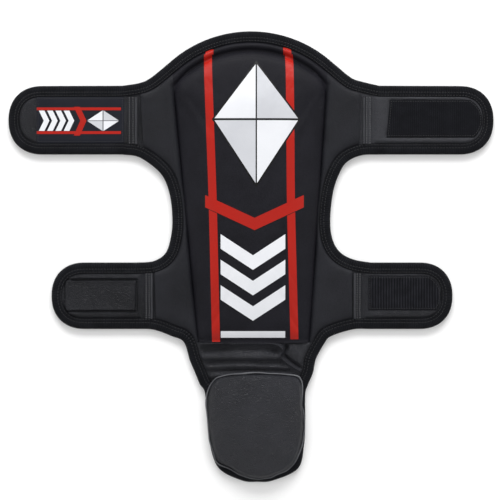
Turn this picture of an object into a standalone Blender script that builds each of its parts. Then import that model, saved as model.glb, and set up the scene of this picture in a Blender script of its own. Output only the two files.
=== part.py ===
"""Shin and instep guard, lying flat and face up with its four closing straps open.

+X is the wearer's right as drawn, +Y points to the knee, +Z is the striking side.
The origin is the middle of the footprint, on the surface that the guard lies on.
A side's points are (u, y): u is the distance outward from the Y axis, so each
side keeps the right hand of its edges as the inside of the panel.
"""
import math

import bmesh
import bpy
from mathutils import Vector

COLLECTION = "shin_instep_guard"

# Clearances
GAP = 0.0003
FOLD_GAP = 0.004
CURVE_STEPS = 4

# Folded edge tape: a channel that holds the panel's layers
TAPE_WIDTH = 0.0125
TAPE_WALL = 0.001
TAPE_HEIGHT = 0.007
CAPTURED = TAPE_WALL + 2 * GAP

# Layers of a flat panel, as (bottom, top) heights
LINING_LAYER = (0.0013, 0.0024)
FOAM_LAYER = (0.0027, 0.0043)
COVER_LAYER = (0.0046, 0.0057)
STRAP_BACKING_LAYER = (0.0013, 0.0033)
STRAP_FACE_LAYER = (0.0036, 0.0057)
UNDERSIDE_LAYER = (0.0, 0.001)
SEAM_TAPE_LAYER = (0.0060, 0.0068)
PATCH_LAYER = (0.0060, 0.0076)
COVER_SKIN = 0.0011

# Heights of the fold axes: wings and straps fold round the calf, the ankle to the front
CALF_AXIS_Z = 0.001
ANKLE_AXIS_Z = 0.0035
ANKLE_FOLD_Y = -0.0985
INSTEP_FOLD_Y = -0.1350

# Knee end, an arc about one centre
DOME_CENTRE_Y = 0.1185
DOME_RADIUS = 0.1400
PAD_ARC_RADIUS = 0.1195
DOME_SAMPLES = 33
DOME_HALF_ANGLE = math.radians(42)

# Straps
UPPER_STRAP_Y = 0.1564
UPPER_STRAP_HALF = 0.0393
LOWER_STRAP_Y = -0.0450
LOWER_STRAP_HALF = 0.0381
STRAP_NECK = 0.0200
TIP_POWER = 2.25
TIP_SAMPLES = 14
SEAM_TAPE_WIDTH = 0.0110

# Closing patches, lengths along the strap from its seam
LABEL_SPAN = (0.0190, 0.1190)
LABEL_HALF = 0.0240
UPPER_LOOP_SPAN_START = 0.0300
UPPER_LOOP_HALF = 0.0215
LOWER_LOOP_SPAN_START = 0.0171
LOWER_LOOP_HALF = 0.0194
LOWER_LOOP_RISE = 0.0015
UPPER_HOOK_SPAN = (0.0230, 0.1230)
UPPER_HOOK_HALF = 0.0200
LOWER_HOOK_SPAN = (0.0190, 0.0930)
LOWER_HOOK_HALF = 0.0175

# Raised shin pad: (arc radius, distance in from the creases, foot above the fold, height)
SHIN_COVER_RINGS = (
    (DOME_RADIUS - CAPTURED, 0.0, 0.0, 0.0057),
    (DOME_RADIUS - TAPE_WIDTH - 0.001, 0.0, 0.0, 0.0057),
    (PAD_ARC_RADIUS + 0.001, 0.0060, 0.0015, 0.0190),
    (PAD_ARC_RADIUS - 0.007, 0.0150, 0.0080, 0.0228),
    (PAD_ARC_RADIUS - 0.030, 0.0400, 0.0300, 0.0238),
)
SHIN_CUSHION_RINGS = (
    (PAD_ARC_RADIUS + 0.004, 0.0040, 0.0035, 0.0015),
    (PAD_ARC_RADIUS + 0.001, 0.0065, 0.0040, 0.0095),
)
SHIN_CORE_RINGS = (
    (PAD_ARC_RADIUS, 0.0072, 0.0042, 0.0098),
    (PAD_ARC_RADIUS - 0.003, 0.0105, 0.0052, 0.0165),
    (PAD_ARC_RADIUS - 0.012, 0.0190, 0.0120, 0.0208),
)

# Ankle bridge and instep pad: (distance in from the edge, height)
ANKLE_COVER_RINGS = ((CAPTURED, 0.0057), (0.0130, 0.0058), (0.0165, 0.0105), (0.0180, 0.0108))
ANKLE_FOAM_RINGS = ((0.0155, 0.0027), (0.0180, 0.0088))
INSTEP_COVER_RINGS = (
    (0.0, 0.0075), (0.0, 0.0120), (0.0025, 0.0180), (0.0085, 0.0225), (0.0200, 0.0238))
INSTEP_FOAM_RINGS = (
    (0.0024, 0.0078), (0.0024, 0.0110), (0.0056, 0.0160), (0.0115, 0.0202), (0.0205, 0.0216))
INSTEP_PAD = [
    (-0.0506, -0.1650), (-0.0475, -0.1520), (-0.0380, -0.1415), (-0.0200, -0.1378),
    (0.0030, -0.1374), (0.0280, -0.1374), (0.0455, -0.1390), (0.0540, -0.1460),
    (0.0564, -0.1650), (0.0562, -0.2000), (0.0540, -0.2220), (0.0475, -0.2400),
    (0.0270, -0.2518), (0.0060, -0.2547), (-0.0140, -0.2518), (-0.0330, -0.2400),
    (-0.0440, -0.2200), (-0.0495, -0.1920)]

# Elastic that holds the foot, sewn across the underside of the instep
ELASTIC_Y = -0.2000
ELASTIC_HALF_WIDTH = 0.0200
ELASTIC_ENDS_X = (-0.0325, 0.0455)


class Side:
    """One side of the guard, with the points of its bound edges in (u, y)."""

    def __init__(self, name, sign, crease, seams, tips, shoulder, cut_out, hem):
        self.name = name
        self.sign = sign
        self.crease_foot, self.crease_slope = crease
        self.upper_seam, self.lower_seam = seams
        self.upper_tip, self.lower_tip = tips
        self.shoulder = shoulder
        self.cut_out = cut_out
        self.hem = hem

    def crease(self, y):
        """Distance out to the crease between pad and wing at height y."""
        return self.crease_foot + self.crease_slope * (y - ANKLE_FOLD_Y)


LEFT = Side(
    "left", -1, crease=(0.0604, 0.0960), seams=(0.1275, 0.1120), tips=(0.2783, 0.2289),
    shoulder=[(0.1145, 0.2055), (0.1275, 0.1993), (0.1475, 0.1960)],
    cut_out=[(0.1475, 0.1171), (0.1275, 0.1135), (0.1035, 0.0950), (0.0935, 0.0720),
             (0.0903, 0.0430), (0.0925, 0.0200), (0.0985, 0.0035), (0.1120, -0.0053),
             (0.1320, -0.0069)],
    hem=[(0.1320, -0.0831), (0.1120, -0.0839), (0.0909, -0.0914), (0.0770, -0.0983),
         (0.0702, -0.1190), (0.0644, -0.1328), (0.0587, -0.1466), (0.0530, -0.1560),
         (0.0507, -0.1850), (0.0472, -0.2156), (0.0368, -0.2432), (0.0104, -0.2570)])

RIGHT = Side(
    "right", 1, crease=(0.0667, 0.0675), seams=(0.1272, 0.1173), tips=(0.2783, 0.2312),
    shoulder=[(0.1145, 0.2055), (0.1272, 0.2008), (0.1472, 0.1960)],
    cut_out=[(0.1472, 0.1171), (0.1272, 0.1162), (0.1104, 0.1087), (0.1012, 0.0950),
             (0.0943, 0.0740), (0.0909, 0.0430), (0.0935, 0.0200), (0.1024, 0.0050),
             (0.1173, -0.0032), (0.1373, -0.0069)],
    hem=[(0.1373, -0.0831), (0.1173, -0.0836), (0.0920, -0.0914), (0.0840, -0.1000),
         (0.0745, -0.1175), (0.0713, -0.1328), (0.0656, -0.1466), (0.0623, -0.1580),
         (0.0623, -0.1900), (0.0610, -0.2156), (0.0540, -0.2432), (0.0253, -0.2570)])

SIDES = (LEFT, RIGHT)
TOE = (0.0075, -0.2585)


# Polylines ------------------------------------------------------------------

def smooth(points, closed=False):
    """Points of a Catmull-Rom curve through a few hand-set ones."""
    knots = [Vector(p) for p in points]
    if closed:
        knots = [knots[-1]] + knots + knots[:2]
    else:
        knots = [2 * knots[0] - knots[1]] + knots + [2 * knots[-1] - knots[-2]]
    curve = []
    for before, start, end, after in zip(knots, knots[1:], knots[2:], knots[3:]):
        for step in range(CURVE_STEPS):
            t = step / CURVE_STEPS
            curve.append(0.5 * ((2 * start) + (end - before) * t
                                + (2 * before - 5 * start + 4 * end - after) * t ** 2
                                + (3 * start - before - 3 * end + after) * t ** 3))
    return curve if closed else curve + [knots[-2]]


def inset(points, distance):
    """The polyline moved to its right-hand side, with mitred corners."""
    moved = []
    for index, point in enumerate(points):
        normals = []
        for a, b in ((index - 1, index), (index, index + 1)):
            if 0 <= a and b < len(points):
                run = (points[b] - points[a]).normalized()
                normals.append(Vector((run.y, -run.x)))
        mean = sum(normals, Vector((0, 0))).normalized()
        moved.append(point + mean * (distance / mean.dot(normals[0])))
    return moved


def clipped(points, origin, keep):
    """The stretch of a polyline on the side of a fold that keep points to."""
    keep = Vector(keep).normalized()
    origin = Vector(origin) + keep * (FOLD_GAP / 2)
    kept = []
    for a, b in zip(points, points[1:]):
        near, far = (a - origin).dot(keep), (b - origin).dot(keep)
        if near >= 0:
            kept.append(a)
        if near * far < 0:
            kept.append(a.lerp(b, near / (near - far)))
    if (points[-1] - origin).dot(keep) >= 0:
        kept.append(points[-1])
    return kept


def resampled(points, count):
    """The same polyline with a set number of evenly spaced points."""
    runs = [(b - a).length for a, b in zip(points, points[1:])]
    total = sum(runs)
    result = [points[0]]
    index, passed = 0, 0.0
    for step in range(1, count - 1):
        target = total * step / (count - 1)
        while passed + runs[index] < target:
            passed += runs[index]
            index += 1
        result.append(points[index].lerp(points[index + 1], (target - passed) / runs[index]))
    return result + [points[-1]]


def on_side(side, points):
    """Points of one side as world XY."""
    return [Vector((side.sign * p.x, p.y)) for p in points]


# Edges of the panels ---------------------------------------------------------

def dome_point(angle, radius=DOME_RADIUS):
    return Vector((radius * math.sin(angle), DOME_CENTRE_Y + radius * math.cos(angle)))


def top_edge(side):
    """Outer edge from the middle of the knee end to the upper strap."""
    count = DOME_SAMPLES // 2
    arc = [dome_point(DOME_HALF_ANGLE * i / count) for i in range(count)]
    return arc + smooth([dome_point(DOME_HALF_ANGLE)] + side.shoulder)


def strap_edge(side, strap):
    """Outer edge of a strap: along its top, round its tip and back."""
    if strap == "upper":
        seam, tip, middle, half = side.upper_seam, side.upper_tip, UPPER_STRAP_Y, UPPER_STRAP_HALF
        roots = side.shoulder[-2], side.cut_out[1]
    else:
        seam, tip, middle, half = side.lower_seam, side.lower_tip, LOWER_STRAP_Y, LOWER_STRAP_HALF
        roots = side.cut_out[-2], side.hem[1]
    neck = seam + STRAP_NECK
    above = smooth([(seam - STRAP_NECK / 2, roots[0][1]), roots[0], (neck, middle + half)])
    below = smooth([(neck, middle - half), roots[1], (seam - STRAP_NECK / 2, roots[1][1])])
    around = []
    for step in range(TIP_SAMPLES + 1):
        angle = math.pi / 2 - math.pi * step / TIP_SAMPLES
        reach = abs(math.cos(angle)) ** (2 / TIP_POWER)
        rise = math.copysign(abs(math.sin(angle)) ** (2 / TIP_POWER), math.sin(angle))
        around.append(Vector((tip - half + half * reach, middle + half * rise)))
    return above + around + below


def crease_origin(side):
    return (side.crease_foot, ANKLE_FOLD_Y)


def crease_outward(side):
    return (1.0, -side.crease_slope)


def crease_inward(side):
    return (-1.0, side.crease_slope)


def wing_lanes(side, distance):
    """The wing's three bound edges, moved in by a distance and trimmed at its folds."""
    top = clipped(inset(top_edge(side), distance), crease_origin(side), crease_outward(side))
    top = clipped(top, (side.upper_seam, 0), (-1, 0))
    bay = clipped(inset(smooth(side.cut_out), distance), (side.upper_seam, 0), (-1, 0))
    lower = clipped(inset(smooth(side.cut_out), distance), (side.lower_seam, 0), (-1, 0))
    bay = [p for p in bay if p.y > side.cut_out[4][1]] + [
        p for p in lower if p.y <= side.cut_out[4][1]]
    hem = clipped(inset(smooth(side.hem), distance), (side.lower_seam, 0), (-1, 0))
    hem = clipped(hem, (0, ANKLE_FOLD_Y), (0, 1))
    return top, bay, hem


def wing_outline(side, distance):
    top, bay, hem = wing_lanes(side, distance)
    foot_y = ANKLE_FOLD_Y + FOLD_GAP / 2
    corner = Vector((side.crease(foot_y) + FOLD_GAP / 2, foot_y))
    return on_side(side, top + bay + hem + [corner])


def strap_lane(side, strap, distance):
    seam = side.upper_seam if strap == "upper" else side.lower_seam
    return clipped(inset(strap_edge(side, strap), distance), (seam, 0), (1, 0))


def shin_top_lane(distance):
    """The knee end's bound edge between the two creases, from left to right."""
    count = DOME_SAMPLES - 1
    radius = DOME_RADIUS - distance
    arc = [dome_point(DOME_HALF_ANGLE * (2 * i / count - 1), radius) for i in range(count + 1)]
    arc = clipped(arc, (-LEFT.crease_foot, ANKLE_FOLD_Y), (1.0, LEFT.crease_slope))
    return clipped(arc, (RIGHT.crease_foot, ANKLE_FOLD_Y), crease_inward(RIGHT))


def shin_ring(radius, side_inset, foot_rise):
    """Outline of the shin pad with its arc, creases and foot each moved in."""
    foot_y = ANKLE_FOLD_Y + FOLD_GAP / 2 + foot_rise
    count = DOME_SAMPLES - 1
    arc = [dome_point(DOME_HALF_ANGLE * (2 * i / count - 1), radius) for i in range(count + 1)]
    left = Vector((-LEFT.crease_foot + side_inset, ANKLE_FOLD_Y))
    right = Vector((RIGHT.crease_foot - side_inset, ANKLE_FOLD_Y))
    arc = clipped(arc, left, (1.0, LEFT.crease_slope))
    arc = clipped(arc, right, crease_inward(RIGHT))
    corners = []
    for side, sign in ((RIGHT, 1), (LEFT, -1)):
        reach = side.crease(foot_y) - side_inset - FOLD_GAP / 2
        corners.append(Vector((sign * reach, foot_y)))
    return resampled(arc, DOME_SAMPLES) + corners


def side_lane(side, distance, start_y, end_y):
    """A side's lower edge between two cross folds."""
    lane = inset(smooth(side.hem), distance)
    lane = clipped(lane, (0, start_y), (0, -1))
    return on_side(side, clipped(lane, (0, end_y), (0, 1)))


def ankle_outline(distance):
    """The ankle bridge, with its two folded ends left where they are."""
    right = resampled(side_lane(RIGHT, distance, ANKLE_FOLD_Y, INSTEP_FOLD_Y), 8)
    left = resampled(side_lane(LEFT, distance, ANKLE_FOLD_Y, INSTEP_FOLD_Y), 8)
    return right + left[::-1]


def instep_edge():
    """The instep's bound edge, from the right end of its fold round the toe."""
    right = [Vector(p) for p in RIGHT.hem]
    left = [Vector((-p[0], p[1])) for p in LEFT.hem]
    return smooth(right + [Vector(TOE)] + left[::-1])


def instep_lane(distance):
    lane = [p for p in inset(instep_edge(), distance) if p.y < INSTEP_FOLD_Y + FOLD_GAP]
    return clipped(lane, (0, INSTEP_FOLD_Y), (0, -1))


def instep_pad_ring(distance):
    """Outline of the raised instep pad, drawn in towards its middle by a distance."""
    outline = smooth(INSTEP_PAD, closed=True)
    low = Vector((min(p.x for p in outline), min(p.y for p in outline)))
    high = Vector((max(p.x for p in outline), max(p.y for p in outline)))
    middle, half = (low + high) / 2, (high - low) / 2
    return [Vector((middle.x + (p.x - middle.x) * (1 - distance / half.x),
                    middle.y + (p.y - middle.y) * (1 - distance / half.y))) for p in outline]


# Building blocks --------------------------------------------------------------

def link(obj):
    bpy.data.collections[COLLECTION].objects.link(obj)
    return obj


def slab(name, outline, layer):
    """A flat sheet cut to an outline, between two heights."""
    curve = bpy.data.curves.new(name, "CURVE")
    curve.dimensions = "2D"
    curve.fill_mode = "BOTH"
    curve.render_resolution_u = 0
    low, high = layer
    curve.extrude = (high - low) / 2
    spline = curve.splines.new("POLY")
    spline.points.add(len(outline) - 1)
    for point, corner in zip(spline.points, outline):
        point.co = (corner.x, corner.y, 0, 1)
    spline.use_cyclic_u = True
    obj = link(bpy.data.objects.new(name, curve))
    obj.location.z = (low + high) / 2
    return obj


def lofted(name, rings, closed, bottom_cap, top_cap):
    """A skin over rows of matching points, each row a list of 3-D points."""
    mesh = bpy.data.meshes.new(name)
    shape = bmesh.new()
    rows = [[shape.verts.new(p) for p in ring] for ring in rings]
    for lower, upper in zip(rows, rows[1:]):
        count = len(lower)
        for i in range(count if closed else count - 1):
            j = (i + 1) % count
            shape.faces.new((lower[i], lower[j], upper[j], upper[i]))
    if bottom_cap:
        shape.faces.new(rows[0][::-1])
    if top_cap:
        shape.faces.new(rows[-1])
    bmesh.ops.recalc_face_normals(shape, faces=shape.faces)
    shape.to_mesh(mesh)
    shape.free()
    return link(bpy.data.objects.new(name, mesh))


def at_height(points, z):
    return [Vector((p.x, p.y, z)) for p in points]


def pad(name, rings):
    """A closed block that narrows upwards; rings are (outline, height)."""
    return lofted(name, [at_height(*ring) for ring in rings], True, True, True)


def face_up(obj):
    """Turn an open skin so that its faces point away from the surface below."""
    shape = bmesh.new()
    shape.from_mesh(obj.data)
    widest = max(shape.faces, key=lambda face: face.calc_area())
    widest.normal_update()
    if widest.normal.z < 0:
        bmesh.ops.reverse_faces(shape, faces=shape.faces)
    shape.to_mesh(obj.data)
    shape.free()


def lid(name, rings):
    """A sewn cover: the top and sides of a pad, open underneath."""
    obj = lofted(name, [at_height(*ring) for ring in rings], True, False, True)
    face_up(obj)
    skin = obj.modifiers.new("skin", "SOLIDIFY")
    skin.thickness = COVER_SKIN
    skin.offset = -1.0
    return obj


def edge_tape(name, lane_at, count, world=None):
    """A channel folded over an edge; lane_at gives the edge moved in by a distance."""
    lanes = []
    for distance, z in ((TAPE_WIDTH, 0.0), (0.0, 0.0), (0.0, TAPE_HEIGHT),
                        (TAPE_WIDTH, TAPE_HEIGHT)):
        lane = resampled(lane_at(distance), count)
        lanes.append(at_height(on_side(world, lane) if world else lane, z))
    obj = lofted(name, lanes, False, False, False)
    shape = bmesh.new()
    shape.from_mesh(obj.data)
    top = max(shape.faces, key=lambda face: face.calc_center_median().z)
    top.normal_update()
    if top.normal.z < 0:
        bmesh.ops.reverse_faces(shape, faces=shape.faces)
    shape.to_mesh(obj.data)
    shape.free()
    wall = obj.modifiers.new("wall", "SOLIDIFY")
    wall.thickness = TAPE_WALL
    wall.offset = -1.0
    return obj


def rectangle(side, span, middle, half):
    (near, far) = span
    corners = [(near, middle + half), (far, middle + half), (far, middle - half),
               (near, middle - half)]
    return on_side(side, [Vector(c) for c in corners])


def rounded_patch(side, start, middle, half, strap_middle, tip, strap_half):
    """A patch with a round outer end that follows the inside of the strap's tape."""
    radius = strap_half - TAPE_WIDTH - 2 * GAP
    centre_u = tip - strap_half
    angle_high = math.asin((middle + half - strap_middle) / radius)
    angle_low = math.asin((middle - half - strap_middle) / radius)
    points = [Vector((start, middle + half))]
    for step in range(TIP_SAMPLES + 1):
        angle = angle_high + (angle_low - angle_high) * step / TIP_SAMPLES
        points.append(Vector((centre_u + radius * math.cos(angle),
                              strap_middle + radius * math.sin(angle))))
    points.append(Vector((start, middle - half)))
    return on_side(side, points)


def finish(name, colour, roughness):
    """A plain non-metallic material."""
    material = bpy.data.materials.new(name)
    material.use_nodes = True
    shader = material.node_tree.nodes["Principled BSDF"]
    shader.inputs["Base Color"].default_value = (*colour, 1.0)
    shader.inputs["Roughness"].default_value = roughness
    shader.inputs["Metallic"].default_value = 0.0
    return material


def materials():
    return {
        "leather": finish("black_leather", (0.021, 0.022, 0.026), 0.45),
        "gusset": finish("soft_leather", (0.026, 0.027, 0.031), 0.40),
        "tape": finish("edge_tape", (0.012, 0.013, 0.016), 0.80),
        "lining": finish("lining_cloth", (0.020, 0.020, 0.022), 0.90),
        "foam": finish("soft_foam", (0.055, 0.055, 0.060), 0.95),
        "core": finish("firm_foam", (0.030, 0.030, 0.032), 0.85),
        "loop": finish("loop_pile", (0.009, 0.010, 0.012), 0.95),
        "hook": finish("hook_tape", (0.012, 0.013, 0.015), 0.70),
        "label": finish("woven_label", (0.015, 0.015, 0.018), 0.75),
        "elastic": finish("elastic_band", (0.015, 0.015, 0.017), 0.85),
    }


# Parts of each body ------------------------------------------------------------

def make_shin():
    cover = [(shin_ring(*ring[:3]), ring[3]) for ring in SHIN_COVER_RINGS]
    cushion = [(shin_ring(*ring[:3]), ring[3]) for ring in SHIN_CUSHION_RINGS]
    core = [(shin_ring(*ring[:3]), ring[3]) for ring in SHIN_CORE_RINGS]
    lining = shin_ring(DOME_RADIUS - TAPE_WIDTH - GAP, 0.0, 0.0)
    return {
        "leather": [lid("shin_cover", cover)],
        "foam": [pad("shin_cushion_foam", cushion)],
        "core": [pad("shin_impact_core", core)],
        "lining": [slab("shin_lining", lining, UNDERSIDE_LAYER)],
        "tape": [edge_tape("knee_edge_tape", shin_top_lane, 20)],
    }


def make_wing(side):
    outline = wing_outline(side, CAPTURED)
    tapes = []
    for index, (label, count) in enumerate((("shoulder", 12), ("calf", 30), ("hem", 16))):
        name = f"{side.name}_{label}_edge_tape"
        tapes.append(edge_tape(name, lambda d, i=index: wing_lanes(side, d)[i], count, side))
    return {
        "leather": [slab(f"{side.name}_wing_cover", outline, COVER_LAYER)],
        "foam": [slab(f"{side.name}_wing_foam", outline, FOAM_LAYER)],
        "lining": [slab(f"{side.name}_wing_lining", outline, LINING_LAYER)],
        "tape": tapes,
    }


def make_strap(side, strap):
    name = f"{strap}_{side.name}_strap"
    outline = on_side(side, strap_lane(side, strap, CAPTURED))
    seam = side.upper_seam if strap == "upper" else side.lower_seam
    middle = UPPER_STRAP_Y if strap == "upper" else LOWER_STRAP_Y
    half = UPPER_STRAP_HALF if strap == "upper" else LOWER_STRAP_HALF
    tape_span = (seam + FOLD_GAP / 2, seam + FOLD_GAP / 2 + SEAM_TAPE_WIDTH)
    cross = rectangle(side, tape_span, middle, half - TAPE_WIDTH - 2 * GAP)
    return {
        "leather": [slab(f"{name}_face", outline, STRAP_FACE_LAYER)],
        "lining": [slab(f"{name}_backing", outline, STRAP_BACKING_LAYER)],
        "tape": [edge_tape(f"{name}_edge_tape", lambda d: strap_lane(side, strap, d), 33, side),
                 slab(f"{name}_seam_tape", cross, SEAM_TAPE_LAYER)],
    }


def along(seam, span):
    return (seam + span[0], seam + span[1])


def make_hook_side():
    """The left straps carry the hooks underneath, and the upper one a label on top."""
    upper_label = rectangle(LEFT, along(LEFT.upper_seam, LABEL_SPAN), UPPER_STRAP_Y, LABEL_HALF)
    upper_hook = rectangle(
        LEFT, along(LEFT.upper_seam, UPPER_HOOK_SPAN), UPPER_STRAP_Y, UPPER_HOOK_HALF)
    lower_hook = rectangle(
        LEFT, along(LEFT.lower_seam, LOWER_HOOK_SPAN), LOWER_STRAP_Y, LOWER_HOOK_HALF)
    return (
        {"label": [slab("upper_left_strap_label", upper_label, SEAM_TAPE_LAYER)],
         "hook": [slab("upper_left_strap_hook_patch", upper_hook, UNDERSIDE_LAYER)]},
        {"hook": [slab("lower_left_strap_hook_patch", lower_hook, UNDERSIDE_LAYER)]},
    )


def make_loop_side():
    """The right straps carry the loop pile on top."""
    upper = rounded_patch(RIGHT, RIGHT.upper_seam + UPPER_LOOP_SPAN_START, UPPER_STRAP_Y,
                          UPPER_LOOP_HALF, UPPER_STRAP_Y, RIGHT.upper_tip, UPPER_STRAP_HALF)
    lower = rounded_patch(RIGHT, RIGHT.lower_seam + LOWER_LOOP_SPAN_START,
                          LOWER_STRAP_Y + LOWER_LOOP_RISE, LOWER_LOOP_HALF,
                          LOWER_STRAP_Y, RIGHT.lower_tip, LOWER_STRAP_HALF)
    return (
        {"loop": [slab("upper_right_strap_loop_patch", upper, PATCH_LAYER)]},
        {"loop": [slab("lower_right_strap_loop_patch", lower, PATCH_LAYER)]},
    )


def make_ankle():
    cover = [(ankle_ring(d), z) for d, z in ANKLE_COVER_RINGS]
    foam = [(ankle_ring(d), z) for d, z in ANKLE_FOAM_RINGS]
    tapes = []
    for side in SIDES:
        def lane(distance, side=side):
            edge = clipped(inset(smooth(side.hem), distance), (0, ANKLE_FOLD_Y), (0, -1))
            return clipped(edge, (0, INSTEP_FOLD_Y), (0, 1))
        tapes.append(edge_tape(f"{side.name}_ankle_edge_tape", lane, 8, side))
    return {
        "gusset": [lid("ankle_bridge_cover", cover)],
        "foam": [pad("ankle_bridge_foam", foam)],
        "lining": [slab("ankle_bridge_lining", ankle_outline(CAPTURED), LINING_LAYER)],
        "tape": tapes,
    }


def ankle_ring(distance):
    """The ankle outline moved in, with its folded ends brought in by less."""
    end_inset = max(0.0, distance - TAPE_WIDTH)
    points = ankle_outline(distance)
    low, high = INSTEP_FOLD_Y + FOLD_GAP / 2, ANKLE_FOLD_Y - FOLD_GAP / 2
    middle = (low + high) / 2
    squeeze = 1 - end_inset / ((high - low) / 2)
    return [Vector((p.x, middle + (p.y - middle) * squeeze)) for p in points]


def make_instep():
    cover = [(instep_pad_ring(d), z) for d, z in INSTEP_COVER_RINGS]
    foam = [(instep_pad_ring(d), z) for d, z in INSTEP_FOAM_RINGS]
    base = instep_lane(CAPTURED)
    low_x, high_x = ELASTIC_ENDS_X
    elastic = [Vector((x, y)) for x, y in (
        (low_x, ELASTIC_Y - ELASTIC_HALF_WIDTH), (high_x, ELASTIC_Y - ELASTIC_HALF_WIDTH),
        (high_x, ELASTIC_Y + ELASTIC_HALF_WIDTH), (low_x, ELASTIC_Y + ELASTIC_HALF_WIDTH))]
    return {
        "gusset": [lid("instep_pad_cover", cover)],
        "core": [pad("instep_pad_foam", foam)],
        "leather": [slab("instep_base_sheet", base, STRAP_FACE_LAYER)],
        "lining": [slab("instep_lining", base, STRAP_BACKING_LAYER)],
        "tape": [edge_tape("instep_edge_tape", instep_lane, 44)],
        "elastic": [slab("instep_elastic_band", elastic, UNDERSIDE_LAYER)],
    }


# Assembly -----------------------------------------------------------------------

def pivot(name, place, parent=None):
    """An empty on a joint's axis, which carries the pieces that turn about it."""
    empty = link(bpy.data.objects.new(name, None))
    empty.empty_display_size = 0.02
    empty.location = place
    if parent:
        attach(empty, parent)
    bpy.context.view_layer.update()
    return empty


def attach(obj, parent):
    """Parent an object and leave it where it is."""
    obj.parent = parent
    obj.matrix_parent_inverse = parent.matrix_world.inverted()


def place(pieces, parent, palette):
    for slot, objects in pieces.items():
        for obj in objects:
            obj.data.materials.append(palette[slot])
            if parent:
                attach(obj, parent)


def clear_scene():
    for obj in list(bpy.data.objects):
        bpy.data.objects.remove(obj)


def build():
    clear_scene()
    bpy.context.scene.collection.children.link(bpy.data.collections.new(COLLECTION))
    palette = materials()
    place(make_shin(), None, palette)
    extras = {LEFT: make_hook_side(), RIGHT: make_loop_side()}
    for side in SIDES:
        crease = (side.sign * side.crease_foot, ANKLE_FOLD_Y, CALF_AXIS_Z)
        wing = pivot(f"{side.name}_wing_pivot", crease)
        place(make_wing(side), wing, palette)
        straps = (("upper", side.upper_seam, UPPER_STRAP_Y),
                  ("lower", side.lower_seam, LOWER_STRAP_Y))
        for (strap, seam, middle), extra in zip(straps, extras[side]):
            hinge = (side.sign * seam, middle, CALF_AXIS_Z)
            end = pivot(f"{strap}_{side.name}_strap_pivot", hinge, wing)
            place(make_strap(side, strap), end, palette)
            place(extra, end, palette)
    ankle = pivot("ankle_pivot", (0, ANKLE_FOLD_Y, ANKLE_AXIS_Z))
    place(make_ankle(), ankle, palette)
    instep = pivot("instep_pivot", (0, INSTEP_FOLD_Y, ANKLE_AXIS_Z), ankle)
    place(make_instep(), instep, palette)


build()
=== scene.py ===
"""Looks of the shin and instep guard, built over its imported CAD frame.

Everything is in metres, lying flat and face up: +X is the wearer's right, +Y points
to the knee. A side's points are (u, y), where u is the distance outward from the Y axis.
The leather is cut to the same outline as the CAD panels, then puffed, seamed and bound.
"""

import math

import bmesh
import bpy
import numpy as np
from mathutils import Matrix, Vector, noise
from mathutils.bvhtree import BVHTree
from mathutils.geometry import delaunay_2d_cdt


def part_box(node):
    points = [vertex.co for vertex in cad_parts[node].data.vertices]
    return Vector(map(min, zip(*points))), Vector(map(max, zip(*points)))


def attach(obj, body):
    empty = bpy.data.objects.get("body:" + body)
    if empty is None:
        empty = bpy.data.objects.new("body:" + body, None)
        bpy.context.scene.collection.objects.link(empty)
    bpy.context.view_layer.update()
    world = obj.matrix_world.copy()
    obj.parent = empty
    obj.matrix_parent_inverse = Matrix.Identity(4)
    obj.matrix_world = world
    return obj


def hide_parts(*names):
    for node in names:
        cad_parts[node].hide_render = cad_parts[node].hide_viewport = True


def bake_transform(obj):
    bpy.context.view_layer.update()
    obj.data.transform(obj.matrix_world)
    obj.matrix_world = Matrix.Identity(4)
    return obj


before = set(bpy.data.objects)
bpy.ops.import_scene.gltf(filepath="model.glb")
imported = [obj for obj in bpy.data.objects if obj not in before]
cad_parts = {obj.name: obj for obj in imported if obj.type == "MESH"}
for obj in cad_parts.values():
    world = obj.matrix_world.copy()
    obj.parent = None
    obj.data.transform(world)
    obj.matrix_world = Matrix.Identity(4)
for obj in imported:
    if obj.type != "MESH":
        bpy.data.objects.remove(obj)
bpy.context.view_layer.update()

MM = 0.001

# Folded edge tape and what it holds
TAPE_WIDTH = 0.0125
TUCK = 0.0090
LINING_EDGE = TAPE_WIDTH - 0.0010
TUCKED_Z = 0.0057
GROOVE_Z = 0.0062
LINING_Z = 0.0012
GUSSET_BASE_Z = 0.0024
STRAP_BASE_Z = 0.0036
PATCH_Z = 0.0059

# Folds
ANKLE_FOLD_Y = -0.0985
ANKLE_SPLIT_Y = -0.1190
GUSSET_END_Y = -0.1390

# Knee end
DOME_CENTRE_Y = 0.1185
DOME_RADIUS = 0.1400
DOME_HALF_ANGLE = math.radians(42)
DOME_START_Y = 0.2030
PAD_ARC_RADIUS = 0.1172
PAD_FOOT_Y = -0.0978

# Straps
UPPER_STRAP_Y = 0.1564
UPPER_STRAP_HALF = 0.0393
LOWER_STRAP_Y = -0.0450
LOWER_STRAP_HALF = 0.0381
TIP_POWER = 2.25

EDGE_SPACING = 0.0018


class Side:
    """One side of the guard, with the points of its bound edges in (u, y)."""

    def __init__(self, name, sign, crease, seams, tips, shoulder, cut_out, hem):
        self.name = name
        self.sign = sign
        self.crease_foot, self.crease_slope = crease
        self.seams = {"upper": seams[0], "lower": seams[1]}
        self.tips = {"upper": tips[0], "lower": tips[1]}
        self.shoulder = shoulder
        self.cut_out = cut_out
        self.hem = hem

    def beyond_crease(self, xy):
        """Distance of points out past this side's crease, negative on the shin pad."""
        rise = self.crease_slope
        along = self.sign * xy[:, 0] - self.crease_foot - rise * (xy[:, 1] - ANKLE_FOLD_Y)
        return along / math.hypot(1.0, rise)

    def crease_point(self, y):
        return np.array((self.crease_foot + self.crease_slope * (y - ANKLE_FOLD_Y), y))


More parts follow.
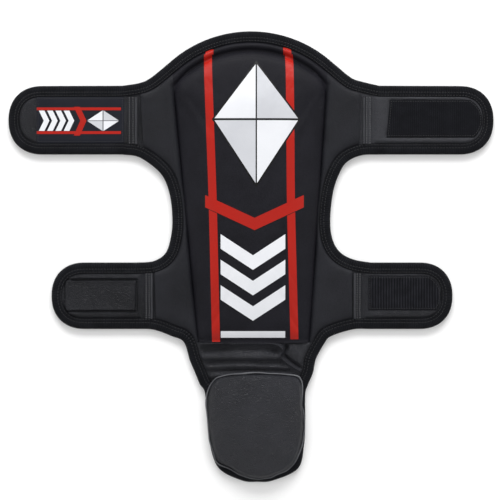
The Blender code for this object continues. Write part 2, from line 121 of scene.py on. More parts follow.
LEFT = Side(
    "left", -1, crease=(0.0604, 0.0960), seams=(0.1275, 0.1120), tips=(0.2783, 0.2289),
    shoulder=[(0.1145, 0.2055), (0.1275, 0.1993), (0.1475, 0.1960)],
    cut_out=[(0.1475, 0.1171), (0.1275, 0.1135), (0.1035, 0.0950), (0.0935, 0.0720),
             (0.0903, 0.0430), (0.0925, 0.0200), (0.0985, 0.0035), (0.1120, -0.0053),
             (0.1320, -0.0069)],
    hem=[(0.1320, -0.0831), (0.1120, -0.0839), (0.0909, -0.0914), (0.0770, -0.0983),
         (0.0702, -0.1190), (0.0644, -0.1328), (0.0587, -0.1466), (0.0530, -0.1560),
         (0.0507, -0.1850), (0.0472, -0.2156), (0.0368, -0.2432), (0.0104, -0.2570)])

RIGHT = Side(
    "right", 1, crease=(0.0667, 0.0675), seams=(0.1272, 0.1173), tips=(0.2783, 0.2312),
    shoulder=[(0.1145, 0.2055), (0.1272, 0.2008), (0.1472, 0.1960)],
    cut_out=[(0.1472, 0.1171), (0.1272, 0.1162), (0.1104, 0.1087), (0.1012, 0.0950),
             (0.0943, 0.0740), (0.0909, 0.0430), (0.0935, 0.0200), (0.1024, 0.0050),
             (0.1173, -0.0032), (0.1373, -0.0069)],
    hem=[(0.1373, -0.0831), (0.1173, -0.0836), (0.0920, -0.0914), (0.0840, -0.1000),
         (0.0745, -0.1175), (0.0713, -0.1328), (0.0656, -0.1466), (0.0623, -0.1580),
         (0.0623, -0.1900), (0.0610, -0.2156), (0.0540, -0.2432), (0.0253, -0.2570)])

SIDES = (LEFT, RIGHT)
TOE = (0.0075, -0.2585)
STRAPS = {"upper": (UPPER_STRAP_Y, UPPER_STRAP_HALF), "lower": (LOWER_STRAP_Y, LOWER_STRAP_HALF)}
WING_RUNS = ("shoulder", "calf", "hem")


# Lines -------------------------------------------------------------------------

CURVE_STEPS = 10


def smooth(points, closed=False):
    """A Catmull-Rom curve through a few given points."""
    knots = np.array(points, float)
    if closed:
        knots = np.vstack([knots[-1:], knots, knots[:2]])
    else:
        knots = np.vstack([2 * knots[0] - knots[1], knots, 2 * knots[-1] - knots[-2]])
    t = (np.arange(CURVE_STEPS) / CURVE_STEPS)[:, None]
    curve = []
    for before, start, end, after in zip(knots, knots[1:], knots[2:], knots[3:]):
        curve.append(0.5 * (2 * start + (end - before) * t
                            + (2 * before - 5 * start + 4 * end - after) * t ** 2
                            + (3 * start - before - 3 * end + after) * t ** 3))
    curve = np.vstack(curve)
    return curve if closed else np.vstack([curve, knots[-2]])


def lengths_along(path):
    gaps = np.linalg.norm(np.diff(path, axis=0), axis=1)
    return np.concatenate([[0.0], np.cumsum(gaps)])


def even(path, spacing):
    """The same line with evenly spaced points."""
    along = lengths_along(path)
    stations = np.linspace(0.0, along[-1], max(2, round(along[-1] / spacing) + 1))
    return np.column_stack([np.interp(stations, along, column) for column in path.T])


def headings(path):
    """Unit direction of a line at each of its points."""
    run = np.gradient(path, axis=0)
    kernel = np.ones(5) / 5
    padded = np.vstack([run[:1], run[:1], run, run[-1:], run[-1:]])
    run = np.column_stack([np.convolve(column, kernel, "valid") for column in padded.T])
    return run / np.linalg.norm(run, axis=1)[:, None]


def beside(line, closed=False):
    """Unit vectors to the right of a line's run at each of its points."""
    run = headings(np.vstack([line, line[:1]]))[:-1] if closed else headings(line)
    return np.column_stack([run[:, 1], -run[:, 0]])


def shifted(line, steps, closed=False):
    """Copies of a line, each one step to its right."""
    right = beside(line, closed)
    return [line + right * step for step in steps]


def dense(polygon, spacing):
    """A closed outline with points added on its long edges."""
    rows = []
    for start, end in zip(polygon, np.roll(polygon, -1, axis=0)):
        length = np.linalg.norm(end - start)
        if length < 1e-5:
            continue
        count = max(1, round(length / spacing))
        rows.append(start + (end - start) * (np.arange(count) / count)[:, None])
    return np.vstack(rows)


def clip(polygon, origin, keep):
    """The part of a closed outline on the side of a line that keep points to."""
    side = (polygon - np.array(origin)) @ np.array(keep)
    kept = []
    for i, (point, here) in enumerate(zip(polygon, side)):
        j = (i + 1) % len(polygon)
        if here >= 0:
            kept.append(point)
        if here * side[j] < 0:
            kept.append(point + (polygon[j] - point) * here / (here - side[j]))
    return np.array(kept)


def distance_to(points, line):
    """Distance from each point to the nearest point of a finely divided line."""
    nearest = np.empty(len(points))
    for first in range(0, len(points), 4000):
        block = points[first:first + 4000]
        gap = block[:, None, :] - line[None, :, :]
        nearest[first:first + 4000] = np.sqrt((gap ** 2).sum(axis=2).min(axis=1))
    return nearest


def inside(points, polygon):
    """True for points within a closed outline."""
    x, y = points[:, 0][:, None], points[:, 1][:, None]
    ax, ay = polygon[:, 0][None, :], polygon[:, 1][None, :]
    bx, by = np.roll(ax, -1), np.roll(ay, -1)
    crosses = ((ay > y) != (by > y)) & (
        x < (bx - ax) * (y - ay) / np.where(by == ay, 1.0, by - ay) + ax)
    return crosses.sum(axis=1) % 2 == 1


def ripple(points, scale, seed, stretch=(1.0, 1.0)):
    """Soft noise between -1 and 1 at each point, with waves of about 1/scale metres."""
    return np.array([noise.noise(Vector((x * scale * stretch[0], y * scale * stretch[1], seed)))
                     for x, y in points[:, :2]])


def fade_in(distance, reach):
    """0 at a line, and nearly 1 at three times the reach from it."""
    return 1.0 - np.exp(-np.clip(distance, 0.0, None) / reach)


def swell(distance, width):
    return np.exp(-(distance / width) ** 2)


# The guard's outer edge -----------------------------------------------------------

class Edge:
    """A stretch of the outer edge, with the way in to the panel at each point."""

    def __init__(self, points, inward):
        self.points = points
        self.inward = inward

    def moved(self, distance):
        return self.points + self.inward * distance

    def part(self, first, last):
        return Edge(self.points[first:last + 1], self.inward[first:last + 1])

    def then(self, other):
        """This stretch and the one that follows it."""
        return Edge(np.vstack([self.points, other.points[1:]]),
                    np.vstack([self.inward, other.inward[1:]]))

    def round_to(self, other):
        """This stretch, and then another one backwards."""
        return Edge(np.vstack([self.points, other.points[-2::-1]]),
                    np.vstack([self.inward, other.inward[-2::-1]]))


def dome_point(angle, radius=DOME_RADIUS):
    return (radius * math.sin(angle), DOME_CENTRE_Y + radius * math.cos(angle))


def strap_tip(side, strap):
    """The strap's round end, from its top edge to its lower one."""
    middle, half = STRAPS[strap]
    angles = np.linspace(math.pi / 2, -math.pi / 2, 41)
    reach = np.abs(np.cos(angles)) ** (2 / TIP_POWER)
    rise = np.sign(np.sin(angles)) * np.abs(np.sin(angles)) ** (2 / TIP_POWER)
    return np.column_stack([side.tips[strap] - half + half * reach, middle + half * rise])


def side_edge(side):
    """The whole edge of one side, from the knee end's middle to the toe, and its cuts."""
    other = LEFT if side is RIGHT else RIGHT
    arc = [dome_point(DOME_HALF_ANGLE * i / 24) for i in range(24)]
    toe = (side.sign * TOE[0], TOE[1])
    hem = side.hem + [toe] + [(-u, y) for u, y in other.hem[::-1]]
    hem = smooth(hem)[:CURVE_STEPS * len(side.hem) + 1]
    path = np.vstack([
        arc, smooth([dome_point(DOME_HALF_ANGLE)] + side.shoulder), strap_tip(side, "upper"),
        smooth(side.cut_out), strap_tip(side, "lower"), hem])
    path = even(path, EDGE_SPACING)
    inward = beside(path)

    cuts = [0]
    tests = (
        lambda p: p[:, 0] > side.seams["upper"], lambda p: p[:, 0] < side.seams["upper"],
        lambda p: (p[:, 0] > side.seams["lower"]) & (p[:, 1] < 0.0),
        lambda p: p[:, 0] < side.seams["lower"],
        lambda p: p[:, 1] < ANKLE_FOLD_Y, lambda p: p[:, 1] < ANKLE_SPLIT_Y)
    for test in tests:
        cuts.append(cuts[-1] + int(np.argmax(test(path[cuts[-1]:]))))
    cuts.append(len(path) - 1)

    mirror = np.array((side.sign, 1.0))
    whole = Edge(path * mirror, inward * mirror)
    names = ("shoulder", "upper", "calf", "lower", "hem", "ankle", "instep")
    stretches = {name: whole.part(a, b) for name, a, b in zip(names, cuts, cuts[1:])}
    return whole, stretches


EDGES = {side.name: side_edge(side) for side in SIDES}
OUTER_LINE = np.vstack([EDGES["left"][0].points, EDGES["right"][0].points])


def stretch(side, name):
    return EDGES[side.name][1][name]


TOE_EDGE = stretch(RIGHT, "instep").round_to(stretch(LEFT, "instep"))


def from_tape(xy):
    """Distance in from the edge tape's inner side, negative under the tape."""
    return distance_to(xy, OUTER_LINE) - TAPE_WIDTH


def raised_line():
    """The groove round the raised shin pad: up one crease, over the arc, down the other."""
    ends = []
    for side in SIDES:
        heights = np.linspace(0.15, 0.23, 400)
        line = np.array([side.crease_point(y) for y in heights])
        radius = np.hypot(line[:, 0], line[:, 1] - DOME_CENTRE_Y)
        ends.append(line[np.argmin(np.abs(radius - PAD_ARC_RADIUS))])
    left, right = ends
    start = math.atan2(-left[0], left[1] - DOME_CENTRE_Y)
    end = math.atan2(right[0], right[1] - DOME_CENTRE_Y)
    arc = [dome_point(a, PAD_ARC_RADIUS) for a in np.linspace(start, end, 80)]
    foot_left = LEFT.crease_point(ANKLE_FOLD_Y) * (-1, 1)
    foot_right = RIGHT.crease_point(ANKLE_FOLD_Y)
    return even(np.vstack([foot_left, arc, foot_right]), 0.001)


RAISED_LINE = raised_line()


# Meshes -----------------------------------------------------------------------------

def flat_grid(outline, spacing, features=()):
    """Even triangles inside an outline, finer along feature lines.

    Gives the points, the triangles and how many points are on the rim.
    """
    low, high = outline.min(axis=0), outline.max(axis=0)
    rows = np.arange(low[1], high[1], spacing * 0.866)
    grid = []
    for index, y in enumerate(rows):
        xs = np.arange(low[0] + (index % 2) * spacing / 2, high[0], spacing)
        grid.append(np.column_stack([xs, np.full(len(xs), y)]))
    grid = np.vstack(grid)
    grid = grid[inside(grid, outline)]
    grid = grid[distance_to(grid, outline) > 0.55 * spacing]
    kept = outline
    if len(features):
        lines = np.vstack(features)
        lines = lines[inside(lines, outline)]
        lines = lines[distance_to(lines, outline) > 0.35 * spacing]
        kept = np.vstack([outline, lines])
        grid = grid[distance_to(grid, lines) > 0.5 * spacing]
    points = np.vstack([kept, grid])
    made, _, faces, _, _, _ = delaunay_2d_cdt(
        [Vector(p) for p in points], [], [list(range(len(outline)))], 1, 1e-7)
    return np.array([p[:] for p in made]), [list(face) for face in faces], len(outline)


def new_object(name, vertices, faces, materials=(), slots=None, uvs=None, crisp=50):
    """A mesh piece; uvs are one pair for each vertex."""
    mesh = bpy.data.meshes.new(name)
    mesh.from_pydata([tuple(v) for v in vertices], [], [tuple(f) for f in faces])
    for material in materials:
        mesh.materials.append(material)
    if slots is not None:
        mesh.polygons.foreach_set("material_index", slots)
    if uvs is not None:
        corners = np.empty(len(mesh.loops), np.int32)
        mesh.loops.foreach_get("vertex_index", corners)
        layer = mesh.uv_layers.new(name="flat")
        layer.data.foreach_set("uv", np.asarray(uvs, np.float32)[corners].ravel())
    shape = bmesh.new()
    shape.from_mesh(mesh)
    bmesh.ops.recalc_face_normals(shape, faces=shape.faces)
    shape.to_mesh(mesh)
    shape.free()
    mesh.shade_smooth()
    mesh.set_sharp_from_angle(angle=math.radians(crisp))
    obj = bpy.data.objects.new(name, mesh)
    bpy.context.scene.collection.objects.link(obj)
    return obj


def boundary_of(faces):
    """Edges that only one face uses, in that face's direction."""
    uses = {}
    for face in faces:
        for a, b in zip(face, face[1:] + face[:1]):
            uses[(a, b)] = True
    return [(a, b) for a, b in uses if (b, a) not in uses]


def between(xy, top, bottom, faces):
    """Vertices, faces and flat places of the solid between two heights."""
    count = len(xy)
    walls = [(a, a + count, b + count, b) for a, b in boundary_of(faces)]
    floor = [[i + count for i in face[::-1]] for face in faces]
    layers = [np.column_stack([xy, np.broadcast_to(z, count)]) for z in (top, bottom)]
    return np.vstack(layers), faces + floor + walls, np.vstack([xy, xy])


def closed_form(name, xy, top, bottom, faces, material):
    """A solid piece between two heights given at each point."""
    vertices, faces, flat = between(xy, top, bottom, faces)
    return new_object(name, vertices, faces, [material], uvs=flat)


class Parts:
    """Vertices and faces gathered into one piece with several materials."""

    def __init__(self):
        self.vertices, self.faces, self.slots, self.uvs = [], [], [], []
        self.count = 0

    def add(self, vertices, faces, uvs=None, slot=0):
        self.vertices.append(np.asarray(vertices, float))
        self.faces.extend([[i + self.count for i in face] for face in faces])
        self.slots.extend([slot] * len(faces))
        self.uvs.append(np.zeros((len(vertices), 2)) if uvs is None else np.asarray(uvs))
        self.count += len(vertices)

    def build(self, name, materials, crisp=50):
        return new_object(name, np.vstack(self.vertices), self.faces, materials,
                          self.slots, np.vstack(self.uvs), crisp)


def quads(rows, size, closed=False):
    """Faces between closed rings of points, row after row."""
    faces = []
    for i in range(rows if closed else rows - 1):
        k = (i + 1) % rows
        for j in range(size):
            m = (j + 1) % size
            faces.append([i * size + j, k * size + j, k * size + m, i * size + m])
    return faces


def swept(parts, path, inward, section, slot=0):
    """Carry a closed (distance in, height) section along an edge."""
    along = lengths_along(path)
    section = np.array(section)
    wrap = lengths_along(section)
    rings, size = len(path), len(section)
    vertices = np.empty((rings, size, 3))
    vertices[:, :, :2] = path[:, None, :] + inward[:, None, :] * section[None, :, :1]
    vertices[:, :, 2] = section[None, :, 1]
    uvs = np.empty((rings, size, 2))
    uvs[:, :, 0] = along[:, None]
    uvs[:, :, 1] = wrap[None, :]
    faces = quads(rings, size)
    faces.append(list(range(size)))
    faces.append([(rings - 1) * size + j for j in range(size)][::-1])
    parts.add(vertices.reshape(-1, 3), faces, uvs.reshape(-1, 2), slot)


STITCH_SIDES = 6
CORD_SIDES = 8


def frame_along(run):
    """Unit vectors along, across and up from the directions of a 3-D line."""
    run = run / np.linalg.norm(run, axis=1)[:, None]
    across = np.cross(run, (0.0, 0.0, 1.0))
    across = across / np.linalg.norm(across, axis=1)[:, None]
    return run, across, np.cross(across, run)


def stitch_row(parts, line, pitch=0.0034, length=0.0026, radius=0.00034):
    """Threads laid end to end along a 3-D line, in the piece's second material."""
    along = lengths_along(line)
    count = int(along[-1] / pitch)
    if count < 1:
        return
    centres = (np.arange(count) + 0.5) * along[-1] / count
    place = np.column_stack([np.interp(centres, along, c) for c in line.T])
    ahead = np.column_stack([np.interp(centres + pitch / 4, along, c) for c in line.T])
    behind = np.column_stack([np.interp(centres - pitch / 4, along, c) for c in line.T])
    run, across, up = frame_along(ahead - behind)
    turns = np.arange(STITCH_SIDES) * 2 * math.pi / STITCH_SIDES
    for i in range(count):
        ring = radius * (np.cos(turns)[:, None] * across[i] + np.sin(turns)[:, None] * up[i])
        body = [place[i] + run[i] * (step * length) + ring for step in (-0.32, 0.32)]
        ends = [place[i] + run[i] * (step * length) - up[i] * radius * 0.8 for step in (-0.5, 0.5)]
        vertices = np.vstack(body + [ends])
        faces = []
        for j in range(STITCH_SIDES):
            k = (j + 1) % STITCH_SIDES
            faces.append([j, k, STITCH_SIDES + k, STITCH_SIDES + j])
            faces.append([2 * STITCH_SIDES, k, j])
            faces.append([2 * STITCH_SIDES + 1, STITCH_SIDES + j, STITCH_SIDES + k])
        parts.add(vertices, faces, slot=1)


def closed_cord(parts, line, radius):
    """A round cord along a closed 3-D line, with a radius at each point."""
    _, across, up = frame_along(np.roll(line, -1, axis=0) - np.roll(line, 1, axis=0))
    turns = np.arange(CORD_SIDES) * 2 * math.pi / CORD_SIDES
    rings = [line + radius[:, None] * (math.cos(a) * across + math.sin(a) * up) for a in turns]
    vertices = np.stack(rings, axis=1).reshape(-1, 3)
    faces = [face[::-1] for face in quads(len(line), CORD_SIDES, closed=True)]
    along = np.repeat(lengths_along(line), CORD_SIDES)
    around = np.tile(np.arange(CORD_SIDES) * 0.001, len(line))
    parts.add(vertices, faces, np.column_stack([along, around]))


def puffed(points, faces, pinned, pressure, cap, frames):
    """Points of a cover after a short cloth simulation under air pressure."""
    scene = bpy.context.scene
    mesh = bpy.data.meshes.new("simulated")
    mesh.from_pydata([tuple(p) for p in points], [], [tuple(f) for f in faces])
    obj = bpy.data.objects.new("simulated", mesh)
    scene.collection.objects.link(obj)
    group = obj.vertex_groups.new(name="pinned")
    group.add([int(i) for i in np.flatnonzero(pinned)], 1.0, "REPLACE")
    cloth = obj.modifiers.new("cloth", "CLOTH")
    settings = cloth.settings
    settings.quality = 6
    settings.mass = 0.3
    settings.air_damping = 2.0
    settings.vertex_group_mass = "pinned"
    settings.use_pressure = True
    settings.uniform_pressure_force = pressure
    settings.effector_weights.gravity = 0.0
    cloth.point_cache.frame_start = 1
    cloth.point_cache.frame_end = frames
    for number in range(1, frames + 1):
        scene.frame_set(number)
    shaped = obj.evaluated_get(bpy.context.evaluated_depsgraph_get()).to_mesh()
    moved = np.empty(len(points) * 3)
    shaped.vertices.foreach_get("co", moved)
    moved = moved.reshape(-1, 3)
    scene.frame_set(1)
    bpy.data.objects.remove(obj)
    shift = moved - points
    reach = np.linalg.norm(shift, axis=1)[:, None]
    return points + shift * np.minimum(1.0, cap / np.maximum(reach, 1e-9))


# Materials ---------------------------------------------------------------------------

class Surface:
    """A Principled material with a short way to add and link nodes."""

    def __init__(self, name, roughness=0.5, specular=0.5, sheen=0.0):
        self.material = bpy.data.materials.new(name)
        self.material.use_nodes = True
        self.tree = self.material.node_tree
        self.shader = self.tree.nodes["Principled BSDF"]
        self.shader.inputs["Roughness"].default_value = roughness
        self.shader.inputs["Specular IOR Level"].default_value = specular
        self.shader.inputs["Sheen Weight"].default_value = sheen

    def node(self, kind, values=None, **settings):
        node = self.tree.nodes.new(kind)
        for key, value in settings.items():
            setattr(node, key, value)
        for key, value in (values or {}).items():
            if isinstance(value, bpy.types.NodeSocket):
                self.tree.links.new(value, node.inputs[key])
            else:
                node.inputs[key].default_value = value
        return node

    def feed(self, socket, output):
        self.tree.links.new(output, self.shader.inputs[socket])

    def solid_place(self):
        return self.node("ShaderNodeTexCoord").outputs["Object"]

    def flat_place(self):
        return self.node("ShaderNodeUVMap", uv_map="flat").outputs["UV"]

    def noise(self, place, scale, detail=3.0, rough=0.5):
        values = {"Vector": place, "Scale": scale, "Detail": detail, "Roughness": rough}
        return self.node("ShaderNodeTexNoise", values).outputs["Fac"]

    def math(self, operation, a, b=0.0):
        return self.node("ShaderNodeMath", {0: a, 1: b}, operation=operation).outputs[0]

    def ranged(self, value, low, high, to_low, to_high):
        values = {"Value": value, "From Min": low, "From Max": high,
                  "To Min": to_low, "To Max": to_high}
        return self.node("ShaderNodeMapRange", values).outputs[0]

    def blend(self, share, first, second):
        mix = self.node("ShaderNodeMix", data_type="RGBA")
        for index, value in ((6, first), (7, second)):
            if isinstance(value, bpy.types.NodeSocket):
                self.tree.links.new(value, mix.inputs[index])
            else:
                mix.inputs[index].default_value = (*value, 1.0)
        self.tree.links.new(share, mix.inputs[0])
        return mix.outputs[2]

    def wave(self, place, pitch, axis, distortion, **detail):
        """Bands one pitch apart."""
        values = {"Vector": place, "Scale": band_scale(pitch), "Distortion": distortion, **detail}
        return self.node("ShaderNodeTexWave", values, bands_direction=axis).outputs["Fac"]

    def cells(self, place, scale):
        """Leather pebbles: 0 in the seams between them, 1 on top."""
        edges = self.node("ShaderNodeTexVoronoi", {"Vector": place, "Scale": scale},
                          feature="DISTANCE_TO_EDGE").outputs["Distance"]
        return self.ranged(edges, 0.0, 0.22, 0.0, 1.0)

    def bump(self, height, distance, strength=1.0, before=None):
        values = {"Height": height, "Distance": distance, "Strength": strength}
        if before is not None:
            values["Normal"] = before
        return self.node("ShaderNodeBump", values).outputs["Normal"]


def band_scale(pitch):
    """Scale of a wave texture whose bands are one pitch apart."""
    return math.pi / (10 * pitch)


def leather(name, dark, light, grain=900.0, depth=0.00012, roughness=(0.42, 0.58),
            creasing=0.0004, specular=0.17):
    """Pebbled synthetic leather: cells with painted shade in the seams between them, pores, slow
    creases and uneven gloss.
    """
    look = Surface(name, specular=specular)
    place = look.solid_place()
    cells = look.cells(place, grain)
    pores = look.noise(place, grain * 2.2, 2.0)
    slow = look.noise(place, 38.0, 4.0, 0.55)
    broad = look.noise(place, 9.0, 2.0)
    tone = look.math("ADD", look.math("MULTIPLY", slow, 0.55), look.math("MULTIPLY", broad, 0.45))
    tone = look.ranged(tone, 0.35, 0.68, 0.0, 1.0)
    colour = look.blend(tone, dark, light)
    # Painted shade: the seams between the pebbles are darkened in the colour.
    pit = look.ranged(cells, 0.0, 0.6, 0.55, 0.0)
    look.feed("Base Color", look.blend(pit, colour, tuple(c * 0.45 for c in dark)))
    look.feed("Roughness", look.ranged(slow, 0.3, 0.7, *roughness))
    creases = look.bump(look.noise(place, 55.0, 5.0, 0.6), creasing)
    pebbles = look.bump(cells, depth, before=creases)
    look.feed("Normal", look.bump(pores, depth * 0.4, 0.7, before=pebbles))
    return look.material


def ribbed_tape(name, dark, light, pitch=0.0021, depth=0.00030):
    """Woven binding: ribs across the tape, a fine weave along it and rubbed threads."""
    look = Surface(name, roughness=0.85, specular=0.08, sheen=0.03)
    look.shader.inputs["Sheen Roughness"].default_value = 0.5
    place = look.flat_place()
    ribs = look.wave(place, pitch, "X", 1.6, **{"Detail": 2.0, "Detail Scale": 2.0})
    weave = look.wave(place, 0.0006, "Y", 1.5)
    fuzz = look.noise(place, 900.0, 3.0)
    patchy = look.noise(place, 60.0, 3.0)
    tone = look.math("MULTIPLY", ribs, look.ranged(patchy, 0.3, 0.7, 0.35, 1.2))
    tone = look.math("MULTIPLY", tone, look.ranged(fuzz, 0.3, 0.7, 0.5, 1.4))
    look.feed("Base Color", look.blend(tone, dark, light))
    height = look.math("ADD", ribs, look.math("MULTIPLY", weave, 0.5))
    height = look.math("ADD", height, look.math("MULTIPLY", fuzz, 0.6))
    look.feed("Normal", look.bump(height, depth))
    return look.material


def woven(name, warp, weft, pitch=0.0009, depth=0.0001, sheen=0.1, roughness=0.8):
    """Plain woven cloth: two crossed sets of threads."""
    look = Surface(name, roughness=roughness, specular=0.12, sheen=sheen)
    place = look.flat_place()
    across = look.wave(place, pitch, "X", 0.6)
    along = look.wave(place, pitch, "Y", 0.6)
    checks = look.node("ShaderNodeTexChecker", {"Vector": place, "Scale": 1.0 / pitch}).outputs["Fac"]
    patchy = look.noise(place, 45.0, 4.0)
    threads = look.math("MULTIPLY", look.math("MAXIMUM", across, along),
                        look.ranged(patchy, 0.3, 0.7, 0.6, 1.0))
    tone = look.math("MULTIPLY", threads, look.ranged(checks, 0.0, 1.0, 0.55, 1.0))
    look.feed("Base Color", look.blend(tone, warp, weft))
    look.feed("Normal", look.bump(threads, depth))
    return look.material


def pile(name, dark, light, ribs=0.0):
    """Brushed loop or hook pile: short fibres that scatter light."""
    look = Surface(name, roughness=0.95, specular=0.05, sheen=0.04)
    look.shader.inputs["Sheen Roughness"].default_value = 0.6
    place = look.flat_place()
    curls = look.node("ShaderNodeTexVoronoi", {"Vector": place, "Scale": 1500.0}).outputs["Distance"]
    fibre = look.noise(place, 1100.0, 4.0, 0.7)
    patchy = look.noise(place, 90.0, 4.0)
    tone = look.math("MULTIPLY", fibre, look.ranged(patchy, 0.3, 0.7, 0.4, 1.2))
    if ribs:
        # Painted shade and highlight: the ribs show as dark and light bands in the colour.
        rows = look.wave(place, ribs, "X", 0.6)
        tone = look.math("MULTIPLY", tone, look.ranged(rows, 0.0, 1.0, 0.15, 1.7))
    look.feed("Base Color", look.blend(tone, dark, light))
    height = look.math("ADD", curls, fibre)
    look.feed("Normal", look.bump(height, 0.0004))
    return look.material


def print_film(name, colour, worn, roughness=0.38):
    """Screen print on leather: the grain shows through, and it is a little rubbed."""
    look = Surface(name, roughness=roughness, specular=0.22)
    place = look.solid_place()
    patchy = look.noise(place, 30.0, 4.0)
    specks = look.noise(place, 1100.0, 2.0)
    share = look.math("ADD", look.ranged(patchy, 0.40, 0.75, 0.0, 0.6),
                      look.ranged(specks, 0.62, 0.80, 0.0, 0.5))
    look.feed("Base Color", look.blend(share, colour, worn))
    look.feed("Roughness", look.ranged(patchy, 0.3, 0.7, roughness, roughness + 0.14))
    look.feed("Normal", look.bump(look.cells(place, 900.0), 0.00006))
    return look.material


def thread(name, dark, light):
    """Sewing thread with a fine twist."""
    look = Surface(name, roughness=0.6, specular=0.35, sheen=0.1)
    place = look.solid_place()
    twist = look.node("ShaderNodeTexWave", {"Vector": place, "Scale": 900.0, "Distortion": 2.0},
                      bands_direction="DIAGONAL").outputs["Fac"]
    look.feed("Base Color", look.blend(twist, dark, light))
    look.feed("Normal", look.bump(twist, 0.00008))
    return look.material


def floor_paint():
    look = Surface("studio_floor", roughness=0.9, specular=0.1)
    tint = look.noise(look.solid_place(), 3.0, 2.0)
    look.feed("Base Color", look.blend(tint, (0.93, 0.93, 0.93), (0.95, 0.95, 0.95)))
    return look.material


PAD_LEATHER = leather("pad_leather", (0.0070, 0.0068, 0.0096), (0.0124, 0.0122, 0.0168),
                      specular=0.10)
WING_LEATHER = leather("wing_leather", (0.0080, 0.0084, 0.0112), (0.0145, 0.0150, 0.0198))
STRAP_LEATHER = leather("strap_leather", (0.0058, 0.0062, 0.0084), (0.0160, 0.0167, 0.0216),
                        grain=600.0, depth=0.00045, creasing=0.0009, specular=0.24)
# Painted highlight: a lighter copy of the strap leather that stands in for leather catching the light.
LIT_STRAP_LEATHER = leather("strap_leather_rubbed", (0.0220, 0.0228, 0.0275), (0.0400, 0.0412, 0.0490),
                        grain=620.0, depth=0.00040, specular=0.24)
# Painted highlight: a lighter leather for the seam ridge, standing in for the light along it.
RIDGE_HIGHLIGHT_LEATHER = leather("seam_ridge_leather", (0.026, 0.027, 0.032), (0.056, 0.058, 0.066),
                        grain=620.0, depth=0.00040, specular=0.26)
SOFT_LEATHER = leather("soft_leather", (0.0105, 0.0110, 0.0148), (0.0200, 0.0208, 0.0272),
                       grain=560.0, depth=0.00050, roughness=(0.40, 0.54), creasing=0.0007,
                       specular=0.32)
# Painted highlight: a light leather for the piping, standing in for the highlight along the seam edge.
PIPING_HIGHLIGHT_LEATHER = leather("piping_painted_highlight", (0.075, 0.077, 0.085), (0.16, 0.163, 0.175),
                         grain=800.0, roughness=(0.32, 0.45))
TAPE = ribbed_tape("edge_tape", (0.0016, 0.0018, 0.0027), (0.0128, 0.0135, 0.0172))
THREAD = thread("thread", (0.006, 0.006, 0.007), (0.020, 0.020, 0.022))
GREY_THREAD = thread("grey_thread", (0.080, 0.082, 0.090), (0.170, 0.173, 0.182))
LINING = woven("lining_cloth", (0.009, 0.009, 0.010), (0.026, 0.026, 0.028), pitch=0.0011)
LABEL = woven("woven_label", (0.0040, 0.0045, 0.0078), (0.0145, 0.0160, 0.0240), pitch=0.0012,
              sheen=0.03, roughness=0.6)
ELASTIC = woven("elastic_band", (0.009, 0.009, 0.010), (0.030, 0.030, 0.033), pitch=0.0016,
                depth=0.00025)
# Painted shade and highlight: the ribs of both piles are light and dark bands in the colour.
LOOP = pile("loop_pile", (0.0028, 0.0030, 0.0044), (0.0090, 0.0094, 0.0125), ribs=0.0024)
RIBBED_LOOP = pile("ribbed_loop_pile", (0.0022, 0.0024, 0.0036), (0.0190, 0.0196, 0.0250),
                   ribs=0.0031)
HOOK = pile("hook_tape", (0.006, 0.006, 0.008), (0.022, 0.022, 0.026))
RED = print_film("red_print", (0.365, 0.0085, 0.0030), (0.31, 0.0075, 0.0030))
WHITE = print_film("white_print", (0.69, 0.70, 0.73), (0.62, 0.63, 0.66))
GREY = print_film("grey_print", (0.52, 0.53, 0.56), (0.44, 0.45, 0.48))
BLACK = print_film("black_print", (0.004, 0.004, 0.004), (0.008, 0.008, 0.009))


# Placing pieces --------------------------------------------------------------------

def with_wing(piece, side):
    """Bakes the piece's placement into its mesh; the piece stays flat."""
    top = side.crease_point(0.2) * (side.sign, 1)
    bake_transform(piece)


def with_strap(piece, side, strap):
    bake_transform(piece)


def with_ankle(piece):
    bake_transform(piece)


def with_instep(piece):
    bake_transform(piece)


# Edge tape ----------------------------------------------------------------------------

STITCH_ROWS = ((0.0110, 0.00688), (0.0075, 0.00698))
TAPE_SECTION = [(d * MM, z * MM) for d, z in (
    (12.5, 6.1), (12.45, 6.6), (12.1, 6.95), (11.4, 7.0), (11.0, 6.75), (10.6, 7.02), (9.2, 7.3),
    (7.95, 7.12), (7.5, 6.85), (7.05, 7.1), (5.0, 7.2), (3.0, 7.0), (1.4, 6.35), (0.4, 5.1),
    (0.0, 3.6), (0.35, 2.0), (1.3, 0.75), (3.0, 0.1), (6.0, 0.0), (12.5, 0.0), (12.5, 0.9),
    (3.4, 1.0), (1.9, 2.1), (1.4, 3.6), (1.9, 4.9), (3.4, 5.7), (12.5, 5.9))]


def bound_edge(name, edge, replaced):
    """One run of folded edge tape with its two rows of stitches."""
    parts = Parts()
    swept(parts, edge.points, edge.inward, TAPE_SECTION)
    for distance, z in STITCH_ROWS:
        line = edge.moved(distance)
        stitch_row(parts, np.column_stack([line, np.full(len(line), z)]))
    piece = parts.build(name, [TAPE, THREAD], crisp=70)
    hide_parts(*replaced)
    return piece


def bind_edges():
    for side in SIDES:
        name = side.name
        for run in WING_RUNS:
            replaced = [f"{name}_{run}_edge_tape"]
            if side is LEFT and run == "shoulder":
                replaced = ["knee_edge_tape"] + replaced
            with_wing(bound_edge(f"{name}_{run}_tape", stretch(side, run), replaced), side)
        for strap in STRAPS:
            end = f"{strap}_{name}_strap"
            tape = bound_edge(f"{end}_tape", stretch(side, strap), [f"{end}_edge_tape"])
            with_strap(tape, side, strap)
        with_ankle(bound_edge(f"{name}_ankle_tape", stretch(side, "ankle"),
                              [f"{name}_ankle_edge_tape"]))
    with_instep(bound_edge("instep_tape", TOE_EDGE, ["instep_edge_tape"]))


# Leather panels ------------------------------------------------------------------------

GROOVE_STEPS = (-0.0042, -0.0026, -0.0014, -0.0006, 0.0006, 0.0014, 0.0026, 0.0042)


